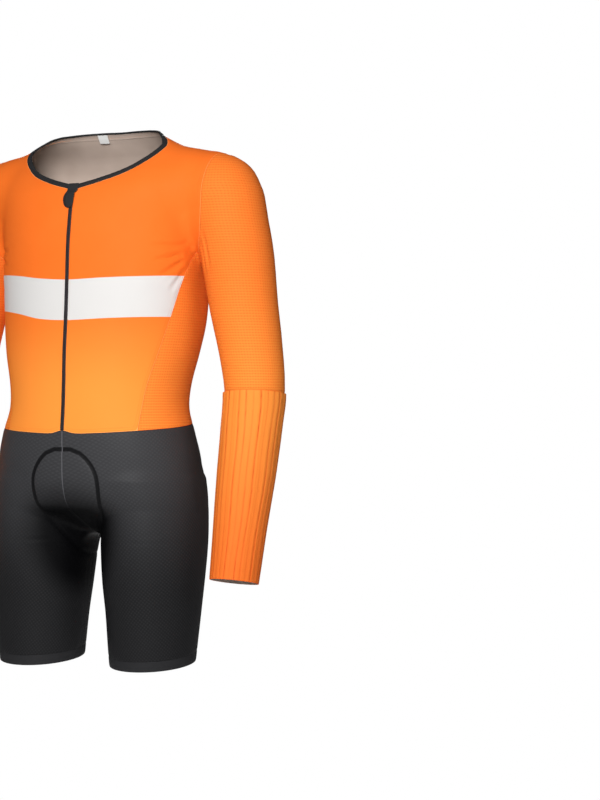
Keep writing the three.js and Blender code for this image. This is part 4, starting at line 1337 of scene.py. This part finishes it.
# Across the bound edge and out from the form, from its lower edge up, over the top and down inside
BINDING_PROFILE = points(
    [0.2, -0.7], [0.2, 0.1], [0.9, 0.45], [2.4, 0.62], [4.4, 0.66], [6.4, 0.6],
    [7.8, 0.36], [8.5, -0.2], [8.7, -0.9], [8.5, -1.7], [7.8, -2.05], [6.8, -2.2],
    [5.8, -2.2], [5.5, -1.9], [2.6, -1.85], [-3.5, -1.85], [-3.5, -1.6], [0.1, -1.6],
)
BINDING_INSIDE = 12  # the profile's point where the cloth's inside starts
BINDING_PUCKER = 0.07
BINDING_TO_ZIP = 0.3


def make_binding():
    """The tape folded over the neck's edge, as one profile run round the neck from zip to zip."""
    loop = across_middle(joined(neck_front, neck_back))[2:-2]
    loop[0], loop[-1] = [
        on_front(side * (ZIP_WIDTH / 2 + BINDING_TO_ZIP), loop[0][2])[0] for side in (1, -1)]
    ahead = np.gradient(loop, axis=0)
    upward = np.cross(normal_at(loop), ahead)
    run = run_along(loop)
    pucker = BINDING_PUCKER * np.sin(run / 1.9 + 2 * np.sin(run / 13))
    rings = []
    for across, out in BINDING_PROFILE:
        line = walk(loop, upward, across)
        line[0, 0], line[-1, 0] = loop[0, 0], loop[-1, 0]
        rings.append(line + normal_at(line) * (out + pucker)[:, None])
    grid = np.stack(rings)
    rows, columns = grid.shape[:2]
    ids = np.arange(rows * columns).reshape(rows, columns)
    cells = grid_cells(np.concatenate([ids, ids[:1]]))
    mesh = own_mesh("neck_binding_tape", grid.reshape(-1, 3), [*cells, ids[:, 0], ids[::-1, -1]], 50)
    across = np.repeat(BINDING_PROFILE[:, 0], columns)
    along = np.tile(run, rows)
    set_attribute(mesh, "weave", np.column_stack([across, along]))
    set_attribute(mesh, "edge", np.column_stack([across, along]))
    made = piece("neck_binding_tape", mesh, [ELASTIC_TAPE, UNPRINTED_KNIT], "neck_binding", "black_trim")
    side = np.zeros(len(mesh.polygons), np.int32)
    side[BINDING_INSIDE * (columns - 1):rows * (columns - 1)] = 1
    mesh.polygons.foreach_set("material_index", side)
    return made


TOOTH_HEIGHT, COIL_CROWN, COIL_GROOVE, COIL_WIDTH = 0.12, 1.0, 0.4, 6.6
TEETH_FROM, TEETH_TO, GROOVE_HALF_WIDTH = 0.5, 2.4, 0.3


def strip_shape(value, low, high):
    return smooth_step(low - 0.2, low + 0.2, value) * smooth_step(high + 0.2, high - 0.2, value)


def make_zip():
    """Two rows of coil teeth that meet in a groove, from the waist seam to the top of the binding."""
    low = waist_front[0][2] + 0.2
    high = neck_front[0][2] + BINDING_WIDTH
    rows = math.ceil((high - low) / (COIL_PITCH / 4))
    z = np.linspace(low, high, rows + 1)
    x = np.linspace(-COIL_WIDTH / 2, COIL_WIDTH / 2, 17)
    base = np.stack([on_front(x, level) for level in z])
    across = np.abs(base[..., 0])
    ridges = np.cos(2 * np.pi * base[..., 2] / COIL_PITCH)
    teeth = TOOTH_HEIGHT * ridges * strip_shape(across, TEETH_FROM, TEETH_TO)
    crown = COIL_CROWN * (1 - (across / (COIL_WIDTH / 2)) ** 6)
    over = crown + teeth - COIL_GROOVE * np.exp(-(across / GROOVE_HALF_WIDTH) ** 2)
    under = np.full(over.shape, -ZIP_WALL)
    trim("zip_coil_and_tape", base, over, under, NYLON_COIL, "zip", "black_trim", base[..., [0, 2]])


GARAGE_WALL, GARAGE_OVER_BINDING, GARAGE_OVER_SLIDER, GARAGE_FREE = 1.3, 1.0, 2.7, 0.5
GARAGE_BINDING_Z = -90


def make_garage():
    """The soft flap over the slider: rounded, stitched round its edge and free on the wearer's right."""
    v, u = np.meshgrid(np.linspace(0, 1, 61), np.linspace(0, 1, 31), indexing="ij")
    low, high = GARAGE_OUTLINE.values[[0, -1], 0]
    z = low + v * (high - low)
    outline = at(GARAGE_OUTLINE, z)
    x = outline.right + u * (outline.left - outline.right)
    base = on_front(x.ravel(), z.ravel()).reshape(*x.shape, 3)
    over_slider = GARAGE_FREE + (GARAGE_OVER_SLIDER - GARAGE_FREE) * smooth_step(0, 0.35, u)
    on_binding = smooth_step(GARAGE_BINDING_Z - 4, GARAGE_BINDING_Z + 1, z)
    under = over_slider + (GARAGE_OVER_BINDING - over_slider) * on_binding
    round_edge = (1 - np.abs(2 * u - 1) ** 10) ** 0.4 * (1 - np.abs(2 * v - 1) ** 24) ** 0.4
    half = GARAGE_WALL / 2 * np.maximum(round_edge, 0.12)
    middle = under + GARAGE_WALL / 2
    width = outline.left - outline.right
    beside = np.minimum(np.minimum(u, 1 - u) * width, v * (high - low))
    edge = np.stack([beside, z * 1.1 + x], -1)
    return trim(
        "zip_garage_flap", base, middle + half, middle - half, ELASTIC_TAPE, "zip_garage", "black_trim",
        np.stack([x, z], -1), edge)


LABEL_WIDTH, LABEL_HEIGHT, LABEL_WALL, LABEL_CLEAR, LABEL_BOW = 16, 11, 0.8, 1.9, 0.9
LABEL_X, LABEL_TOP = -34, 20


def make_label():
    """A bare folded label inside the back neck. Its lower end bows a little away from the cloth."""
    v, u = np.meshgrid(np.linspace(0, 1, 17), np.linspace(0.5, -0.5, 21), indexing="ij")
    x = LABEL_X + u * LABEL_WIDTH
    z = LABEL_TOP - LABEL_HEIGHT * (1 - v)
    base = on_back(x.ravel(), z.ravel()).reshape(*x.shape, 3)
    bow = LABEL_BOW * (1 - v) ** 2 * (1 - 1.4 * u ** 2)
    over = -WALL - LABEL_CLEAR - bow
    return trim(
        "size_label_tape", base, over, over - LABEL_WALL, SATIN_TAPE, "size_label", "white_tape",
        np.stack([x, z], -1))


PAD_SHARES, PAD_ROWS = 9, 34
PAD_CHANNELS, PAD_CHANNEL_WIDTH, PAD_CHANNEL_DEPTH = (0.0, 0.55), 0.06, 1.4


def make_pad():
    """The moulded pad: rounded at its edge, with a channel down the middle and one on each side."""
    places = np.linspace(PAD_OUTLINE.values[0, 0], PAD_OUTLINE.values[-1, 0], PAD_ROWS)[::-1]
    shares = np.linspace(0, 1, PAD_SHARES)
    half = np.stack([pad_points(places, share) for share in shares], 1)
    coarse = np.concatenate([mirrored(half)[:, :0:-1], half], 1)
    base = refined(refined(coarse, 0), 1)
    u = np.linspace(-1, 1, base.shape[1])[None]
    v = np.linspace(-1, 1, base.shape[0])[:, None]
    full = np.maximum((1 - np.abs(u) ** 6) ** 0.5 * (1 - np.abs(v) ** 10) ** 0.5, 0.1)
    channels = sum(np.exp(-((np.abs(u) - place) / PAD_CHANNEL_WIDTH) ** 2) for place in PAD_CHANNELS)
    over = -WALL - PAD_CLEAR - 0.5 * (1 - full)
    under = over - PAD_WALL * full + PAD_CHANNEL_DEPTH * channels * full
    made = trim("seat_pad_foam", base, over, under, MOULDED_FOAM, "seat_pad", "pad_foam", base[..., [0, 1]])


binding = make_binding()
make_zip()
garage = make_garage()
label = make_label()
make_pad()
slider = bpy.data.objects["zip_slider"]
slider.material_slots[0].material = PAINTED_ZINC

# Each cut before it is stretched on: its width and length in metres and its area in square metres.
CUTS = [
    (fronts, 0.203, 0.460, 0.0686),
    ([back_piece], 0.430, 0.467, 0.1665),
    (side_panels, 0.131, 0.297, 0.0267),
    (sleeves_upper, 0.423, 0.310, 0.0926),
    (sleeves_lower, 0.263, 0.284, 0.0702),
    (legs, 0.380, 0.363, 0.1105),
    (seats, 0.200, 0.322, 0.0340),
    ([yoke_piece], 0.341, 0.080, 0.0266),
    (grippers, 0.410, 0.0165, 0.0067),
    ([binding], 0.014, 0.650, 0.0091),
    ([garage], 0.020, 0.040, 0.0008),
    ([label], 0.016, 0.022, 0.00035),
]
for pieces, width, length, area in CUTS:
    for made in pieces:
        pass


# Camera, light and room

AZIMUTH = math.radians(30)
CAMERA_AWAY, CAMERA_Z, CAMERA_YAW = 3.018, -0.416, math.radians(6.12)
# The sensor's height in mm, and the height in m that it frames at a distance in m
SENSOR, FRAMED_HEIGHT, FRAMED_AT = 36, 1.28, 3.0


def aimed(name, data, place, direction):
    """Adds a camera or a light at a place, looking along a direction."""
    found = add_object(name, data)
    found.location = place
    found.rotation_mode = "QUATERNION"
    found.rotation_quaternion = direction.to_track_quat("-Z", "Y")
    return found


def make_camera():
    """Stands off the suit's left front, level with the waist, and looks a little past its left side."""
    ahead = Vector((-math.sin(AZIMUTH), math.cos(AZIMUTH), 0))
    right = Vector((math.cos(AZIMUTH), math.sin(AZIMUTH), 0))
    place = -ahead * CAMERA_AWAY + Vector((0, 0, CAMERA_Z))
    look = ahead * math.cos(CAMERA_YAW) + right * math.sin(CAMERA_YAW)
    camera = aimed("camera", bpy.data.cameras.new("camera"), place, look)
    camera.data.lens = SENSOR * FRAMED_AT / FRAMED_HEIGHT
    bpy.context.scene.camera = camera


def area_light(name, place, target, size, power):
    light = aimed(name, bpy.data.lights.new(name, "AREA"), place, Vector(target) - Vector(place))
    light.data.shape = "DISK"
    light.data.size = size
    light.data.energy = power


ROOM_LIGHT, FLOOR_GLOW = 0.13, 0.65
FLOOR_Z, FLOOR_RADIUS, FLOOR_SIDES = -1600, 2300, 128


def make_room():
    """A white studio with a round pale floor. The suit is lit by less of the white than the camera sees."""
    world = bpy.data.worlds.new("studio")
    world.use_nodes = True
    tree = world.node_tree
    seen = add_node(tree, "ShaderNodeLightPath").outputs["Is Camera Ray"]
    strength = add_node(tree, "ShaderNodeMapRange", links={
        "Value": seen, "To Min": ROOM_LIGHT, "To Max": 1.0})
    tree.nodes["Background"].inputs["Color"].default_value = (1, 1, 1, 1)
    tree.links.new(strength.outputs[0], tree.nodes["Background"].inputs["Strength"])
    bpy.context.scene.world = world
    turn = np.linspace(0, 2 * np.pi, FLOOR_SIDES + 1)[:-1]
    ring = np.stack([np.cos(turn) * FLOOR_RADIUS, np.sin(turn) * FLOOR_RADIUS, turn * 0 + FLOOR_Z], -1)
    mesh = own_mesh("floor", ring, [np.arange(FLOOR_SIDES)])
    floor = add_object("floor", mesh)
    paint, tree, shader = new_material("pale matt floor paint", 0.9)
    shader.inputs["Base Color"].default_value = linear(FLOOR_WHITE)
    shader.inputs["Emission Color"].default_value = (1, 1, 1, 1)
    seen = add_node(tree, "ShaderNodeLightPath").outputs["Is Camera Ray"]
    glow = add_node(tree, "ShaderNodeMath", {"operation": "MULTIPLY"}, {0: seen, 1: FLOOR_GLOW})
    tree.links.new(glow.outputs[0], shader.inputs["Emission Strength"])
    mesh.materials.append(paint)
    bpy.context.scene.view_settings.view_transform = "Standard"


make_camera()
make_room()
area_light("key", (0.75, -2.4, 0.55), (0.05, 0, -0.3), 1.2, 92)
area_light("fill", (2.5, -1.0, 0.4), (0.1, 0, -0.3), 1.2, 12)
area_light("back", (-1.3, 2.25, 0.35), (0, 0, -0.36), 1.3, 80)
